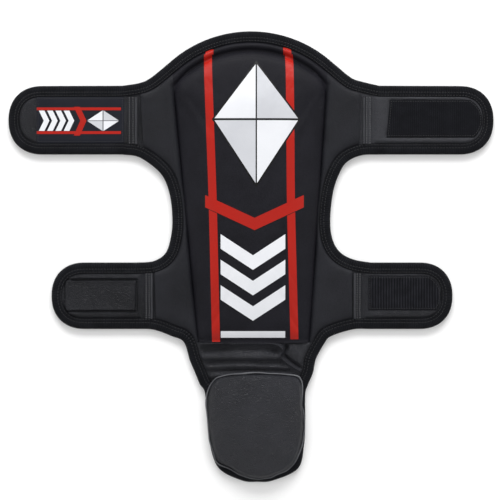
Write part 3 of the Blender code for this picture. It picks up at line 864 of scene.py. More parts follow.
def tape_features(*edges):
    """Lines just inside the tape, where the leather rises over it."""
    return [edge.moved(TAPE_WIDTH + step) for edge in edges
            for step in (0.0001, 0.0007, 0.0015, 0.0026, 0.0041)]


def over_dome(xy):
    """1 on the knee end's arc, fading to 0 at its two corners."""
    return np.clip((xy[:, 1] - DOME_START_Y) / 0.010, 0.0, 1.0)


def outside_height(xy):
    """Height of the padded leather between the tape and the raised pad's groove."""
    t = from_tape(xy)
    p = distance_to(xy, RAISED_LINE)
    dome = over_dome(xy)
    puff = fade_in(t - 0.0009 * dome, 0.0021 - 0.0008 * dome)
    puff = puff * fade_in(p - 0.0004 - 0.0014 * dome, 0.0017)
    waves = ripple(xy, 26.0, 3.0, (1.0, 0.45)) * 0.0005 + ripple(xy, 70.0, 8.0) * 0.00018
    body = 0.0031 + 0.0009 * swell(p - 0.0065, 0.0050) + waves * np.clip(p / 0.012, 0, 1)
    return np.where(t < 0.0, TUCKED_Z, TUCKED_Z + 0.0004 * fade_in(t, 0.0008) + puff * body)


def pad_profile(distance):
    """Rise of the raised pad from its groove."""
    return 0.0060 * fade_in(distance, 0.0026) + 0.0113 * fade_in(distance, 0.0175)


def from_dome(xy):
    """Distance from the dome's centre, counted sideways only below it."""
    return np.hypot(xy[:, 0], np.maximum(xy[:, 1] - DOME_CENTRE_Y, 0.0))


def pad_inside(xy):
    return ((LEFT.beyond_crease(xy) < 0) & (RIGHT.beyond_crease(xy) < 0)
            & (from_dome(xy) < PAD_ARC_RADIUS) & (xy[:, 1] > ANKLE_FOLD_Y - 0.001))


def shin_height(xy):
    gaps = np.stack([-LEFT.beyond_crease(xy), -RIGHT.beyond_crease(xy),
                     PAD_ARC_RADIUS - from_dome(xy), (xy[:, 1] - PAD_FOOT_Y) * 1.6])
    softness = 0.0035
    least = gaps.min(axis=0)
    joined = least - softness * np.log(
        np.exp(-(gaps - least) / softness).sum(axis=0)) + 0.0002
    thinning = 0.52 + 0.48 * np.clip((xy[:, 1] - PAD_FOOT_Y) / 0.075, 0, 1) ** 0.7
    raised = GROOVE_Z + thinning * pad_profile(np.clip(joined - 0.0010 * over_dome(xy), 0, None))
    raised += ripple(xy, 14.0, 5.0) * 0.0004 * np.clip(joined / 0.03, 0, 1)
    near_foot = np.clip((PAD_FOOT_Y + 0.004 - xy[:, 1]) / 0.002, 0, 1)
    sill = GROOVE_Z + 0.0058 * near_foot * fade_in(gaps[:2].min(axis=0), 0.0040)
    raised = np.maximum(raised, sill)
    return np.where(pad_inside(xy), raised, outside_height(xy))


def half_outline(side, distance=TUCK):
    """One half of the shin and its wing, from the knee end's middle to the ankle fold."""
    return np.vstack([stretch(side, run).moved(distance) for run in WING_RUNS])


def crease_keep(side, outward):
    slope = side.crease_slope
    keep = np.array((side.sign, -slope)) * (1 if outward else -1)
    origin = (side.sign * side.crease_foot, ANKLE_FOLD_Y)
    return origin, keep


def shin_outline(distance=TUCK):
    right, left = half_outline(RIGHT, distance), half_outline(LEFT, distance)
    foot = [(right[-1][0], ANKLE_FOLD_Y), (left[-1][0], ANKLE_FOLD_Y)]
    both = np.vstack([right, foot, left[::-1]])
    both = clip(both, (0, ANKLE_FOLD_Y), (0, 1))
    for side in SIDES:
        both = clip(both, *crease_keep(side, outward=False))
    return dense(both, 0.0024)


def wing_outline(side, distance=TUCK):
    half = half_outline(side, distance)
    half = np.vstack([half, (half[-1][0], ANKLE_FOLD_Y), (0.0, ANKLE_FOLD_Y)])
    half = clip(half, (0, ANKLE_FOLD_Y), (0, 1))
    return dense(clip(half, *crease_keep(side, outward=True)), 0.0024)


def make_shin():
    outline = shin_outline()
    features = shifted(RAISED_LINE, GROOVE_STEPS) + tape_features(
        stretch(LEFT, "shoulder"), stretch(RIGHT, "shoulder"))
    xy, faces, rim = flat_grid(outline, 0.0034, features)
    top = np.column_stack([xy, shin_height(xy)])
    pinned = (np.arange(len(xy)) < rim) | ~pad_inside(xy) | (
        distance_to(xy, RAISED_LINE) < 0.002)
    shaped = puffed(top, faces, pinned, pressure=3.0, cap=0.0012, frames=14)
    pad = closed_form("shin_pad", shaped[:, :2], shaped[:, 2], LINING_Z, faces, PAD_LEATHER)
    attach(pad, "shin")
    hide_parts("shin_cover", "shin_cushion_foam", "shin_impact_core")
    return pad


def seam_fall(side, xy):
    """Height share near the strap seams, where the leather is sewn down."""
    u = side.sign * xy[:, 0]
    upper = np.where(xy[:, 1] > 0.05, side.seams["upper"] - u, 1.0)
    lower = np.where(xy[:, 1] < 0.05, side.seams["lower"] - u, 1.0)
    return fade_in(np.minimum(upper, lower) + 0.0002, 0.0016)


def make_wing(side):
    outline = wing_outline(side)
    features = tape_features(*(stretch(side, run) for run in WING_RUNS))
    features += shifted(RAISED_LINE, GROOVE_STEPS)
    for strap in STRAPS:
        middle, half = STRAPS[strap]
        heights = np.arange(middle - half, middle + half, 0.0018)
        for step in (0.0006, 0.0014, 0.0026, 0.0042):
            x = np.full(len(heights), side.sign * (side.seams[strap] - step))
            features.append(np.column_stack([x, heights]))
    xy, faces, _ = flat_grid(outline, 0.0030, features)
    height = outside_height(xy)
    height = TUCKED_Z + (height - TUCKED_Z) * seam_fall(side, xy)
    wing = closed_form(f"{side.name}_wing", xy, height, LINING_Z, faces, WING_LEATHER)
    with_wing(wing, side)
    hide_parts(f"{side.name}_wing_cover", f"{side.name}_wing_foam")


# Straps ---------------------------------------------------------------------------------

def strap_outline(side, strap, distance=TUCK):
    return dense(stretch(side, strap).moved(distance), 0.0022)


def strap_height(side, strap, xy, patch=None):
    t = from_tape(xy)
    u = side.sign * xy[:, 0] - side.seams[strap]
    puff = fade_in(t, 0.0018) * fade_in(u - 0.0138, 0.0016)
    if patch is not None:
        gap = np.where(inside(xy, patch), 0.0, distance_to(xy, patch))
        puff = puff * fade_in(gap, 0.0016)
    waves = ripple(xy, 34.0, 2.0 + side.sign) * 0.0005 + ripple(xy, 110.0, 6.0) * 0.00022
    rim = 0.0009 * swell(t - 0.0026, 0.0018) * puff
    body = 0.0003 * fade_in(t, 0.0008) + puff * (0.0024 + waves) + rim
    return np.where(t < 0, TUCKED_Z, TUCKED_Z + body)


def make_strap(side, strap, material, patch=None, box=None):
    """The strap's leather face, flat under a patch or sewn down along a box."""
    name = f"{strap}_{side.name}_strap"
    features = tape_features(stretch(side, strap))
    if patch is not None:
        features += shifted(patch, (-0.0025, -0.0012, 0.0012, 0.0025), closed=True)
    if box is not None:
        features += shifted(box, (-0.0022, -0.0011, -0.0004, 0.0004, 0.0011, 0.0022), closed=True)
    xy, faces, _ = flat_grid(strap_outline(side, strap), 0.0028, features)
    height = strap_height(side, strap, xy, patch)
    parts = Parts()
    if box is not None:
        gap = distance_to(xy, box)
        height -= 0.0021 * swell(gap, 0.0011)
        height += 0.0010 * swell(gap - 0.0024, 0.0014)
    parts.add(*between(xy, height, STRAP_BASE_Z, faces))
    if box is not None:
        tree = BVHTree.FromPolygons([Vector((x, y, z)) for (x, y), z in zip(xy, height)], faces)
        loop = np.vstack([box, box[:1]])
        z = heights_under(tree, loop) + 0.0001
        stitch_row(parts, np.column_stack([loop, z]), pitch=0.0030, length=0.0023, radius=0.0003)
    face = parts.build(f"{name}_leather", [material, THREAD] if box is not None else [material])
    with_strap(face, side, strap)
    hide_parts(f"{name}_face")


def rectangle(side, span, middle, half, spacing=0.002):
    near, far = (side.sign * u for u in span)
    corners = np.array([(near, middle + half), (far, middle + half),
                        (far, middle - half), (near, middle - half)])
    return dense(corners, spacing)


def rounded_patch(side, strap, start, middle, half, slant=0.0):
    """A patch whose outer end follows the inside of the strap's tape, and its other end leans."""
    strap_middle, strap_half = STRAPS[strap]
    radius = strap_half - TAPE_WIDTH - 0.0008
    centre = side.tips[strap] - strap_half
    high = math.asin((middle + half - strap_middle) / radius)
    low = math.asin((middle - half - strap_middle) / radius)
    round_end = [(centre + radius * math.cos(a), strap_middle + radius * math.sin(a))
                 for a in np.linspace(high, low, 24)]
    points = np.array([(start + slant, middle + half)] + round_end
                      + [(start - slant, middle - half)])
    return dense(points * (side.sign, 1), 0.002)


def sewn_patch(name, outline, thickness, material, rib=0.0, rib_height=0.0):
    """A patch with rounded edges, a stitched border and, if asked, raised ribs."""
    spacing = 0.0009 if rib else 0.0022
    ring = dense(outline, 0.0016)
    inward = beside(ring, closed=True)
    if not inside(ring[:1] + inward[:1] * 0.001, ring)[0]:
        inward = -inward
    features = [ring + inward * step for step in (0.0004, 0.0011, 0.0019, 0.0027)]
    xy, faces, _ = flat_grid(ring, spacing, features)
    gap = distance_to(xy, ring)
    height = PATCH_Z + thickness * (0.45 + 0.55 * fade_in(gap, 0.0005))
    height -= 0.00025 * swell(gap - 0.0018, 0.0005)
    if rib:
        height += rib_height * np.sin(xy[:, 0] * 2 * math.pi / rib) * np.clip(gap / 0.003, 0, 1)
    parts = Parts()
    parts.add(*between(xy, height, PATCH_Z, faces))
    line = ring + inward * 0.0018
    line = np.vstack([line, line[:1]])
    z = np.full(len(line), PATCH_Z + thickness - 0.0001)
    stitch_row(parts, np.column_stack([line, z]), pitch=0.0028, length=0.0021, radius=0.00028)
    return parts.build(name, [material, THREAD], crisp=60)


SEAM_RIDGE = [(d * MM, z * MM) for d, z in (
    (0.0, 5.6), (-0.2, 6.4), (0.0, 7.6), (0.7, 8.5), (1.7, 8.7), (2.7, 8.2), (3.3, 7.3), (3.5, 5.6))]
SEAM_FLAT = [(d * MM, z * MM) for d, z in (
    (3.5, 5.6), (3.6, 6.7), (4.3, 7.2), (4.9, 6.95), (5.5, 7.25), (6.6, 7.65), (7.9, 7.6),
    (8.6, 7.2), (9.2, 6.9), (9.8, 7.15), (10.5, 7.05), (11.0, 6.5), (11.1, 5.6))]


def seam_band(side, strap, start, width, material):
    """The folded strip that covers a strap's seam, with its two columns of stitches."""
    middle, half = STRAPS[strap]
    reach = half - TAPE_WIDTH + 0.0006
    scale = width / 0.0111
    heights = np.arange(middle - reach, middle + reach, 0.0018)
    u = side.seams[strap] + start + ripple(np.column_stack([heights, heights]), 60.0, 7.0) * 0.0003
    path = np.column_stack([side.sign * u, heights])
    across = np.tile((float(side.sign), 0.0), (len(path), 1))
    parts = Parts()
    swept(parts, path, across, [(d * scale, z) for d, z in SEAM_FLAT])
    # Painted highlight: the ridge is swept in the lighter leather of slot 2.
    swept(parts, path, across, [(d * scale, z) for d, z in SEAM_RIDGE], 2)
    for d, z in ((0.0049, 0.00722), (0.0092, 0.00717)):
        line = path + across * d * scale
        stitch_row(parts, np.column_stack([line, np.full(len(line), z)]),
                   pitch=0.0026, length=0.0019, radius=0.0003)
    name = f"{strap}_{side.name}_strap_seam"
    band = parts.build(name, [material, GREY_THREAD, RIDGE_HIGHLIGHT_LEATHER], crisp=70)
    with_strap(band, side, strap)
    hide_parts(f"{strap}_{side.name}_strap_seam_tape")


def add_patch(side, strap, piece, node, slot, flat, outline, thickness, material, **ribs):
    """Sew a patch on a strap's face."""
    name = f"{strap}_{side.name}_strap"
    patch = sewn_patch(f"{name}_{piece}", outline, thickness, material, **ribs)
    with_strap(patch, side, strap)
    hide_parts(f"{name}_{node}")
    return patch


def make_upper_left():
    """The labelled strap."""
    seam = LEFT.seams["upper"]
    label = rectangle(LEFT, (seam + 0.0181, seam + 0.1183), 0.1565, 0.0264)
    make_strap(LEFT, "upper", STRAP_LEATHER, label)
    return add_patch(LEFT, "upper", "label_cloth", "label", "woven_label", (0.1002, 0.0528),
                     label, 0.0010, LABEL)


def make_lower_left():
    """The plain strap, with the box stitching of the hooks under it."""
    seam = LEFT.seams["lower"]
    box = rectangle(LEFT, (seam + 0.0190, seam + 0.1015), -0.0447, 0.0181)
    make_strap(LEFT, "lower", STRAP_LEATHER, box=box)


def make_upper_right():
    loop = rounded_patch(RIGHT, "upper", RIGHT.seams["upper"] + 0.0300, 0.1580, 0.0215,
                         slant=0.0020)
    # Painted highlight: this strap's face uses the lighter, lit copy of the strap leather.
    make_strap(RIGHT, "upper", LIT_STRAP_LEATHER, loop)
    add_patch(RIGHT, "upper", "loop", "loop_patch", "loop_pile", (0.1190, 0.0430),
              loop, 0.0019, LOOP, rib=0.0024, rib_height=0.00012)


def make_lower_right():
    loop = rounded_patch(RIGHT, "lower", RIGHT.seams["lower"] + 0.0171, LOWER_STRAP_Y + 0.0032,
                         0.0194)
    make_strap(RIGHT, "lower", STRAP_LEATHER, loop)
    add_patch(RIGHT, "lower", "loop", "loop_patch", "loop_pile", (0.0920, 0.0388),
              loop, 0.0019, RIBBED_LOOP, rib=0.0031, rib_height=0.0004)


def make_seams():
    seam_band(LEFT, "upper", 0.0027, 0.0111, STRAP_LEATHER)
    # Painted highlight: the right upper band uses the lighter, lit copy of the strap leather.
    seam_band(RIGHT, "upper", 0.0010, 0.0098, LIT_STRAP_LEATHER)
    seam_band(LEFT, "lower", 0.0006, 0.0090, STRAP_LEATHER)
    seam_band(RIGHT, "lower", 0.0004, 0.0086, STRAP_LEATHER)


# Ankle gusset ---------------------------------------------------------------------------

FOLD_S = [(-0.0560, -0.1000), (-0.0300, -0.0992), (0.0000, -0.0990), (0.0200, -0.0993),
          (0.0275, -0.1003), (0.0335, -0.1034), (0.0366, -0.1080), (0.0335, -0.1135),
          (0.0385, -0.1197), (0.0470, -0.1255), (0.0560, -0.1310)]
RIDGES = (  # line, half width, height
    ([(-0.0580, -0.1152), (-0.0300, -0.1140), (0.0000, -0.1148), (0.0290, -0.1150)], 0.0036, 0.0030),
    ([(-0.0500, -0.1262), (-0.0100, -0.1250), (0.0200, -0.1258), (0.0420, -0.1272)], 0.0022, 0.0018),
    ([(-0.0640, -0.1020), (-0.0590, -0.1090), (-0.0550, -0.1180), (-0.0510, -0.1300)], 0.0022, 0.0010),
    ([(-0.0230, -0.1130), (-0.0170, -0.1098), (-0.0110, -0.1082)], 0.0013, 0.0008),
    ([(0.0120, -0.1120), (0.0190, -0.1136), (0.0260, -0.1110)], 0.0012, 0.0007),
    ([(0.0480, -0.1080), (0.0580, -0.1150), (0.0640, -0.1260)], 0.0040, 0.0012),
    ([(-0.0455, -0.1372), (-0.0300, -0.1350), (0.0050, -0.1335), (0.0450, -0.1345)], 0.0013, 0.0016),
)
VALLEYS = (
    ([(-0.0560, -0.1060), (-0.0200, -0.1050), (0.0150, -0.1048), (0.0290, -0.1078)], 0.0034, 0.0028),
    ([(-0.0530, -0.1212), (0.0000, -0.1208), (0.0340, -0.1216)], 0.0026, 0.0020),
    ([(-0.0500, -0.1308), (0.0000, -0.1300), (0.0440, -0.1308)], 0.0022, 0.0022),
    ([(0.0400, -0.1010), (0.0405, -0.1060), (0.0385, -0.1125), (0.0435, -0.1185),
      (0.0520, -0.1245), (0.0590, -0.1290)], 0.0024, 0.0042),
)


def gusset_height(xy):
    t = from_tape(xy)
    grown = fade_in(t, 0.0020)
    height = 0.0036 * fade_in(t, 0.0024) + 0.0010 * fade_in(t, 0.0120)
    for rows, sign in ((RIDGES, 1), (VALLEYS, -1)):
        for line, width, rise in rows:
            gap = distance_to(xy, even(smooth(line), 0.0006))
            height = height + sign * rise * swell(gap, width) * grown
    fold = distance_to(xy, even(smooth(FOLD_S), 0.0006))
    height += (0.0034 * swell(fold, 0.0011) + 0.0013 * swell(fold, 0.0036)) * grown
    height += ripple(xy, 75.0, 4.0, (0.45, 1.3)) * 0.0006 * fade_in(t, 0.004)
    height += ripple(xy, 200.0, 9.0, (0.5, 1.3)) * 0.00022 * fade_in(t, 0.004)
    foot = fade_in(ANKLE_FOLD_Y - xy[:, 1] + 0.0002, 0.0005)
    return np.where(t < 0, TUCKED_Z, TUCKED_Z + 0.0003 + height * (0.55 + 0.45 * foot))


def gusset_half(name, top_y, low_y, follow):
    right, left = (stretch(side, "ankle").then(stretch(side, "instep")) for side in (RIGHT, LEFT))
    outline = np.vstack([right.moved(TUCK), left.moved(TUCK)[::-1]])
    outline = clip(clip(outline, (0, top_y), (0, -1)), (0, low_y), (0, 1))
    outline = dense(outline, 0.0018)
    lines = [even(smooth(line), 0.0012) for line in
             [FOLD_S] + [line for line, _, _ in RIDGES + VALLEYS]]
    features = tape_features(right, left)
    for line in lines:
        features += shifted(line, (-0.0012, 0.0, 0.0012))
    xy, faces, _ = flat_grid(outline, 0.0020, features)
    piece = closed_form(name, xy, gusset_height(xy), GUSSET_BASE_Z, faces, SOFT_LEATHER)
    follow(piece)
    return piece


def make_gusset():
    upper = gusset_half("ankle_gusset_upper", ANKLE_FOLD_Y, ANKLE_SPLIT_Y, with_ankle)
    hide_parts("ankle_bridge_cover", "ankle_bridge_foam")
    gusset_half("ankle_gusset_lower", ANKLE_SPLIT_Y, GUSSET_END_Y, with_instep)


# Instep ----------------------------------------------------------------------------------

SEAM_LINE = [(-0.0425, -0.1425), (-0.0470, -0.1500), (-0.0502, -0.1643), (-0.0500, -0.1784),
             (-0.0484, -0.1949), (-0.0462, -0.2113), (-0.0425, -0.2248), (-0.0378, -0.2355),
             (-0.0243, -0.2417), (-0.0102, -0.2505), (0.0062, -0.2540), (0.0204, -0.2529),
             (0.0297, -0.2485), (0.0414, -0.2443), (0.0508, -0.2340), (0.0570, -0.2171),
             (0.0600, -0.2018), (0.0604, -0.1808), (0.0580, -0.1691), (0.0584, -0.1502),
             (0.0560, -0.1405), (0.0508, -0.1362), (0.0350, -0.1350), (0.0058, -0.1338),
             (-0.0242, -0.1352), (-0.0380, -0.1385)]
FACE_LINE = [(-0.0430, -0.1500), (-0.0432, -0.1650), (-0.0417, -0.1880), (-0.0407, -0.2133),
             (-0.0357, -0.2250), (-0.0242, -0.2365), (-0.0092, -0.2455), (0.0058, -0.2492),
             (0.0219, -0.2478), (0.0385, -0.2405), (0.0478, -0.2305), (0.0530, -0.2185),
             (0.0556, -0.2018), (0.0560, -0.1765), (0.0548, -0.1500), (0.0500, -0.1405),
             (0.0334, -0.1378), (0.0058, -0.1376), (-0.0242, -0.1386), (-0.0385, -0.1430)]
INSTEP_MIDDLE = np.array((0.0060, -0.1940))
INSTEP_SPOKES = 96
INSTEP_FOOT_Z = 0.0076
FACE_RIM_Z = 0.0160
CROWN_RISE = 0.0076
CROWN_TOP_Z = 0.0238


def by_angle(line, middle, count):
    """A closed line's points at even angles about its middle."""
    points = smooth(line, closed=True)
    angles = np.arctan2(points[:, 1] - middle[1], points[:, 0] - middle[0])
    reach = np.hypot(*(points - middle).T)
    order = np.argsort(angles)
    angles, reach = angles[order], reach[order]
    spokes = np.linspace(-math.pi, math.pi, count, endpoint=False)
    reach = np.interp(spokes, angles, reach, period=2 * math.pi)
    return middle + reach[:, None] * np.column_stack([np.cos(spokes), np.sin(spokes)])


def instep_form():
    """The pad's closed shape: pulled-in sides, a round shoulder and a crowned face."""
    foot = by_angle(SEAM_LINE, INSTEP_MIDDLE, INSTEP_SPOKES)
    face = by_angle(FACE_LINE, INSTEP_MIDDLE, INSTEP_SPOKES)
    rings = [(foot, 0.93, INSTEP_FOOT_Z)]
    for share, z in ((0.0, 0.0079), (0.07, 0.0092), (0.2, 0.0108), (0.38, 0.0126), (0.58, 0.0141),
                     (0.78, 0.0151), (0.92, 0.0157), (0.97, 0.0159), (1.0, FACE_RIM_Z)):
        rings.append((foot + (face - foot) * share, 1.0, z))
    for scale in (0.99, 0.975, 0.94, 0.88, 0.80, 0.70, 0.58, 0.44, 0.29, 0.14):
        rings.append((face, scale, FACE_RIM_Z + CROWN_RISE * (1 - scale ** 2.0)))
    rows = [np.column_stack([INSTEP_MIDDLE + (line - INSTEP_MIDDLE) * scale,
                             np.full(INSTEP_SPOKES, z)]) for line, scale, z in rings]
    ends = [[(*INSTEP_MIDDLE, z)] for z in (INSTEP_FOOT_Z, CROWN_TOP_Z)]
    vertices = np.vstack(rows + ends)
    faces = []
    low, high = len(vertices) - 2, len(vertices) - 1
    last = (len(rows) - 1) * INSTEP_SPOKES
    for j in range(INSTEP_SPOKES):
        k = (j + 1) % INSTEP_SPOKES
        for i in range(len(rows) - 1):
            a = i * INSTEP_SPOKES
            faces.append([a + j, a + k, a + INSTEP_SPOKES + k, a + INSTEP_SPOKES + j])
        faces.append([low, k, j])
        faces.append([high, last + j, last + k])
    return vertices, faces


def applied(obj):
    """Bake an object's modifiers into its mesh."""
    shaped = bpy.data.meshes.new_from_object(
        obj.evaluated_get(bpy.context.evaluated_depsgraph_get()))
    obj.modifiers.clear()
    obj.data = shaped
    return obj


def mesh_arrays(mesh):
    points = np.empty(len(mesh.vertices) * 3)
    mesh.vertices.foreach_get("co", points)
    return points.reshape(-1, 3), [list(face.vertices) for face in mesh.polygons]


def make_instep_pad():
    vertices, faces = instep_form()
    pad = new_object("instep_pad", vertices, faces, [SOFT_LEATHER])
    points, faces = mesh_arrays(pad.data)
    pinned = points[:, 2] < 0.0100
    shaped = puffed(points, faces, pinned, pressure=2.0, cap=0.0006, frames=16)
    pad.data.vertices.foreach_set("co", shaped.ravel())
    rounding = pad.modifiers.new("rounding", "SUBSURF")
    rounding.levels = rounding.render_levels = 2
    applied(pad)
    points, _ = mesh_arrays(pad.data)
    upper = np.clip((points[:, 2] - 0.010) / 0.006, 0, 1)
    points[:, 2] += upper * (ripple(points, 40.0, 6.0, (0.7, 1.2)) * 0.0005
                             + ripple(points, 130.0, 2.0, (0.6, 1.3)) * 0.00018
                             + ripple(points, 420.0, 3.0) * 0.00006)
    points[:, 2] = np.minimum(points[:, 2], 0.0245)
    pad.data.vertices.foreach_set("co", points.ravel())
    pad.data.shade_smooth()
    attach(pad, "instep")
    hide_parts("instep_pad_cover", "instep_pad_foam")


def make_instep_piping():
    """The raised seam edge round the pad, a little uneven as sewn leather is, in a light leather that
    paints the highlight along it.
    """
    line = even(smooth(SEAM_LINE + SEAM_LINE[:1]), 0.0016)[:-1]
    away = line - INSTEP_MIDDLE
    away /= np.linalg.norm(away, axis=1)[:, None]
    line = line + away * (0.0005 + ripple(line, 48.0, 1.0) * 0.0013)[:, None]
    z = 0.0088 + ripple(line, 75.0, 5.0) * 0.0006
    z += 0.0034 * np.clip((line[:, 1] + 0.146) / 0.010, 0, 1)
    radius = 0.00085 + 0.00045 * ripple(line, 80.0, 7.0)
    parts = Parts()
    closed_cord(parts, np.column_stack([line, z]), radius)
    piping = parts.build("instep_piping", [PIPING_HIGHLIGHT_LEATHER])
    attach(piping, "instep")


def make_instep_base():
    outline = dense(clip(TOE_EDGE.moved(TUCK), (0, -0.1375), (0, -1)), 0.0022)
    xy, faces, _ = flat_grid(outline, 0.0032, tape_features(TOE_EDGE))
    t = from_tape(xy)
    height = np.where(t < 0, TUCKED_Z, TUCKED_Z + 0.0014 * fade_in(t, 0.0020))
    base = closed_form("instep_base", xy, height, 0.0036, faces, SOFT_LEATHER)
    with_instep(base)
    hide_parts("instep_base_sheet")


# Linings and what is sewn underneath ----------------------------------------------------------

UNDERSIDE = {"lining_cloth": LINING, "elastic": ELASTIC, "hook_tape": HOOK}


def seen_from_above(node):
    """A CAD node's rectangle."""
    low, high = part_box(node)
    return np.array([(low.x, low.y), (high.x, low.y), (high.x, high.y), (low.x, high.y)])


def lining(name, outline, low, high, replaced, ride, slot="lining_cloth"):
    """A cloth layer on the back of the guard, a little uneven; ride gives the function that places it
    and that function's arguments.
    """
    xy, faces, _ = flat_grid(dense(outline, 0.003), 0.005)
    edge = distance_to(xy, dense(outline, 0.002))
    sag = np.abs(ripple(xy, 40.0, 12.0)) * 0.00025 * np.clip(edge / 0.01, 0, 1)
    piece = closed_form(name, xy, high, low + sag, faces, UNDERSIDE[slot])
    follow, *where = ride
    follow(piece, *where)
    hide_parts(replaced)


def make_linings():
    lining("shin_lining_cloth", shin_outline(LINING_EDGE), 0.0002, 0.0011, "shin_lining",
           (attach, "shin"))
    for side in SIDES:
        name = side.name
        lining(f"{name}_wing_lining_cloth", wing_outline(side, LINING_EDGE), 0.0002, 0.0011,
               f"{name}_wing_lining", (with_wing, side))
        for strap in STRAPS:
            end = f"{strap}_{name}_strap"
            lining(f"{end}_backing_cloth", strap_outline(side, strap, LINING_EDGE), 0.0010,
                   0.0035, f"{end}_backing", (with_strap, side, strap))
    right, left = (stretch(side, "ankle").moved(LINING_EDGE) for side in (RIGHT, LEFT))
    lining("ankle_lining_cloth", np.vstack([right, left[::-1]]), 0.0010, 0.0023,
           "ankle_bridge_lining", (with_ankle,))
    lining("instep_lining_cloth", TOE_EDGE.moved(LINING_EDGE), 0.0011, 0.0034, "instep_lining",
           (with_instep,))
    lining("instep_elastic", seen_from_above("instep_elastic_band"), 0.0, 0.0010,
           "instep_elastic_band", (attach, "instep"), "elastic")
    for strap in STRAPS:
        end = f"{strap}_left_strap"
        lining(f"{end}_hooks", seen_from_above(f"{end}_hook_patch"), 0.0, 0.0009,
               f"{end}_hook_patch", (with_strap, LEFT, strap),
               "hook_tape")


# Printed and woven marks -------------------------------------------------------------------------

IN_RED, IN_WHITE, IN_GREY, IN_BLACK = range(4)
KITE_INKS = (IN_WHITE, IN_GREY, IN_GREY, IN_WHITE)
LABEL_SPACING = 0.0016


def tree_of(obj):
    points, faces = mesh_arrays(obj.data)
    return BVHTree.FromPolygons([Vector(p) for p in points], faces)


def heights_under(tree, xy):
    """Height of a surface straight below each point."""
    hits = [tree.ray_cast(Vector((x, y, 0.1)), Vector((0, 0, -1)))[0] for x, y in xy]
    return np.array([hit.z if hit else 0.0 for hit in hits])


def film(parts, tree, polygon, lift, thickness, ink, spacing=0.0022):
    """A thin layer that follows the surface under a flat shape."""
    xy, faces, _ = flat_grid(dense(np.array(polygon), spacing * 0.7), spacing)
    low = heights_under(tree, xy) + lift
    parts.add(*between(xy, low + thickness, low, faces), ink)


def chevron(middle_x, tip_y, half_width, drop, thickness):
    """A V with its point down."""
    rise = tip_y + drop
    return [(middle_x - half_width, rise + thickness), (middle_x - half_width, rise),
            (middle_x, tip_y), (middle_x + half_width, rise),
            (middle_x + half_width, rise + thickness), (middle_x, tip_y + thickness)]


def kite(centre, half_width, up, down):
    """The corners of a kite's four facets."""
    x, y = centre
    top, low = (x, y + up), (x, y - down)
    left, right = (x - half_width, y), (x + half_width, y)
    return [(top, left, (x, y)), (top, (x, y), right), (left, low, (x, y)), ((x, y), low, right)]


def shrunk(polygon, share):
    points = np.array(polygon)
    middle = points.mean(axis=0)
    return middle + (points - middle) * share


def make_pad_print(pad):
    """Two red stripes, and plain chevrons and a kite between them."""
    tree = tree_of(pad)
    parts = Parts()
    left = smooth([(-0.0475, 0.2372), (-0.0478, 0.2310), (-0.0492, 0.2240), (-0.0466, 0.1500),
                   (-0.0438, 0.0720), (-0.0418, -0.0100), (-0.0399, -0.0974)])
    right = smooth([(0.0412, 0.2395), (0.0418, 0.2310), (0.0437, 0.2240), (0.0446, 0.1500),
                    (0.0453, 0.0650), (0.0474, -0.0200), (0.0496, -0.0945)])
    for line in (left, right):
        polygon = np.vstack([line - (0.0046, 0), (line + (0.0046, 0))[::-1]])
        film(parts, tree, polygon, 0.00006, 0.00010, IN_RED, 0.0013)
    accent = chevron(0.0040, 0.0300, 0.0560, 0.0260, 0.0140)
    film(parts, tree, accent, 0.00022, 0.00012, IN_RED)
    film(parts, tree, shrunk(accent, 1.03), 0.00006, 0.00012, IN_BLACK)
    for tip in (-0.0150, -0.0440, -0.0730):
        mark = chevron(0.0022, tip, 0.0367, 0.0240, 0.0165)
        film(parts, tree, shrunk(mark, 1.03), 0.00006, 0.00010, IN_BLACK)
        film(parts, tree, mark, 0.00020, 0.00012, IN_WHITE)
    bar = [(-0.0345, -0.0926), (0.0390, -0.0926), (0.0390, -0.0850), (0.0022, -0.0850),
           (-0.0345, -0.0850)]
    film(parts, tree, bar, 0.00020, 0.00012, IN_WHITE)
    centre = (0.0060, 0.1560)
    diamond = [(0.0060, 0.2210), (-0.0430, 0.1560), (0.0060, 0.0810), (0.0550, 0.1560)]
    film(parts, tree, shrunk(diamond, 1.03), 0.00008, 0.00012, IN_BLACK)
    for facet, ink in zip(kite(centre, 0.0490, 0.0650, 0.0750), KITE_INKS):
        film(parts, tree, shrunk(facet, 0.95), 0.00024, 0.00012, ink)
    marks = parts.build("pad_print", [RED, WHITE, GREY, BLACK], crisp=60)
    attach(marks, "shin")


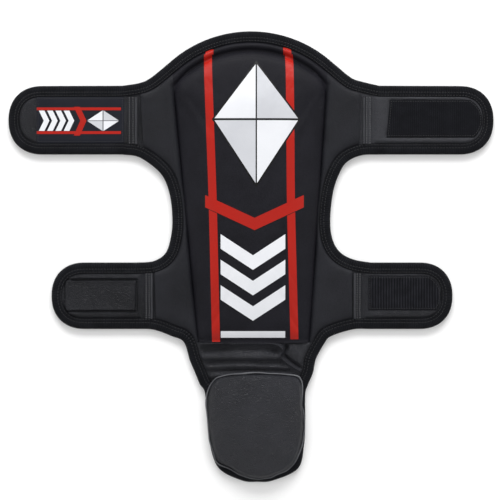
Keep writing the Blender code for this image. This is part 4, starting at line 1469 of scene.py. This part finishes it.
def make_label_marks(label):
    """Two red lines, and small plain chevrons and a kite between them."""
    tree = tree_of(label)
    parts = Parts()
    for y in (0.1692, 0.1420):
        line = [(-0.2478, y - 0.0016), (-0.1490, y - 0.0016), (-0.1490, y + 0.0016),
                (-0.2478, y + 0.0016)]
        film(parts, tree, line, 0.00002, 0.00014, IN_RED, LABEL_SPACING)
    for x in (-0.2400, -0.2305, -0.2210, -0.2115):
        mark = [(x - 0.0030, 0.1672), (x + 0.0034, 0.1672), (x + 0.0090, 0.1556),
                (x + 0.0034, 0.1440), (x - 0.0030, 0.1440), (x + 0.0026, 0.1556)]
        film(parts, tree, mark, 0.00002, 0.00016, IN_WHITE, LABEL_SPACING)
    bolt = [(-0.2030, 0.1715), (-0.1960, 0.1715), (-0.1885, 0.1556), (-0.1960, 0.1385),
            (-0.2030, 0.1385), (-0.1955, 0.1556)]
    film(parts, tree, bolt, 0.00010, 0.00018, IN_RED, LABEL_SPACING)
    for facet, ink in zip(kite((-0.1695, 0.1556), 0.0190, 0.0124, 0.0124), KITE_INKS):
        film(parts, tree, shrunk(facet, 0.92), 0.00002, 0.00016, ink, LABEL_SPACING)
    marks = parts.build("label_marks", [RED, WHITE, GREY], crisp=60)
    with_strap(marks, LEFT, "upper")


# Studio ----------------------------------------------------------------------------------------------

def area_light(name, place, target, size, power):
    data = bpy.data.lights.new(name, "AREA")
    data.shape = "RECTANGLE"
    data.size, data.size_y = size
    data.energy = power
    light = bpy.data.objects.new(name, data)
    light.location = place
    light.rotation_euler = (Vector(target) - Vector(place)).to_track_quat("-Z", "Y").to_euler()
    bpy.context.scene.collection.objects.link(light)


def make_studio():
    world = bpy.data.worlds.new("studio_world")
    world.use_nodes = True
    background = world.node_tree.nodes["Background"]
    background.inputs["Color"].default_value = (1.0, 1.0, 1.0, 1.0)
    background.inputs["Strength"].default_value = 0.55
    bpy.context.scene.world = world

    corners = [(x, y, -0.0004) for x, y in ((-4, -4), (4, -4), (4, 4), (-4, 4))]
    floor = new_object("floor", corners, [[0, 1, 2, 3]], [floor_paint()])

    area_light("knee_softbox", (0.0, 2.3, 1.25), (0, 0, 0), (2.6, 1.2), 90)
    area_light("left_softbox", (-2.3, 0.1, 1.25), (0, 0, 0), (1.6, 2.0), 14)
    area_light("right_softbox", (2.3, 0.1, 1.25), (0, 0, 0), (1.6, 2.0), 14)
    area_light("toe_softbox", (0.0, -2.3, 1.35), (0, 0, 0), (2.4, 1.2), 8)
    bpy.context.scene.view_settings.view_transform = "Standard"


def make_camera():
    data = bpy.data.cameras.new("camera")
    data.sensor_width = 36.0
    field, distance = 0.575, 1.8
    data.lens = data.sensor_width * distance / field
    data.clip_start, data.clip_end = 0.05, 20.0
    camera = bpy.data.objects.new("camera", data)
    camera.location = (-0.00115, 0.0075, distance)
    bpy.context.scene.collection.objects.link(camera)
    bpy.context.scene.camera = camera


make_camera()
make_studio()
bind_edges()
shin_pad = make_shin()
for each_side in SIDES:
    make_wing(each_side)
label_cloth = make_upper_left()
make_lower_left()
make_upper_right()
make_lower_right()
make_seams()
make_gusset()
make_instep_pad()
make_instep_piping()
make_instep_base()
make_linings()
make_pad_print(shin_pad)
make_label_marks(label_cloth)
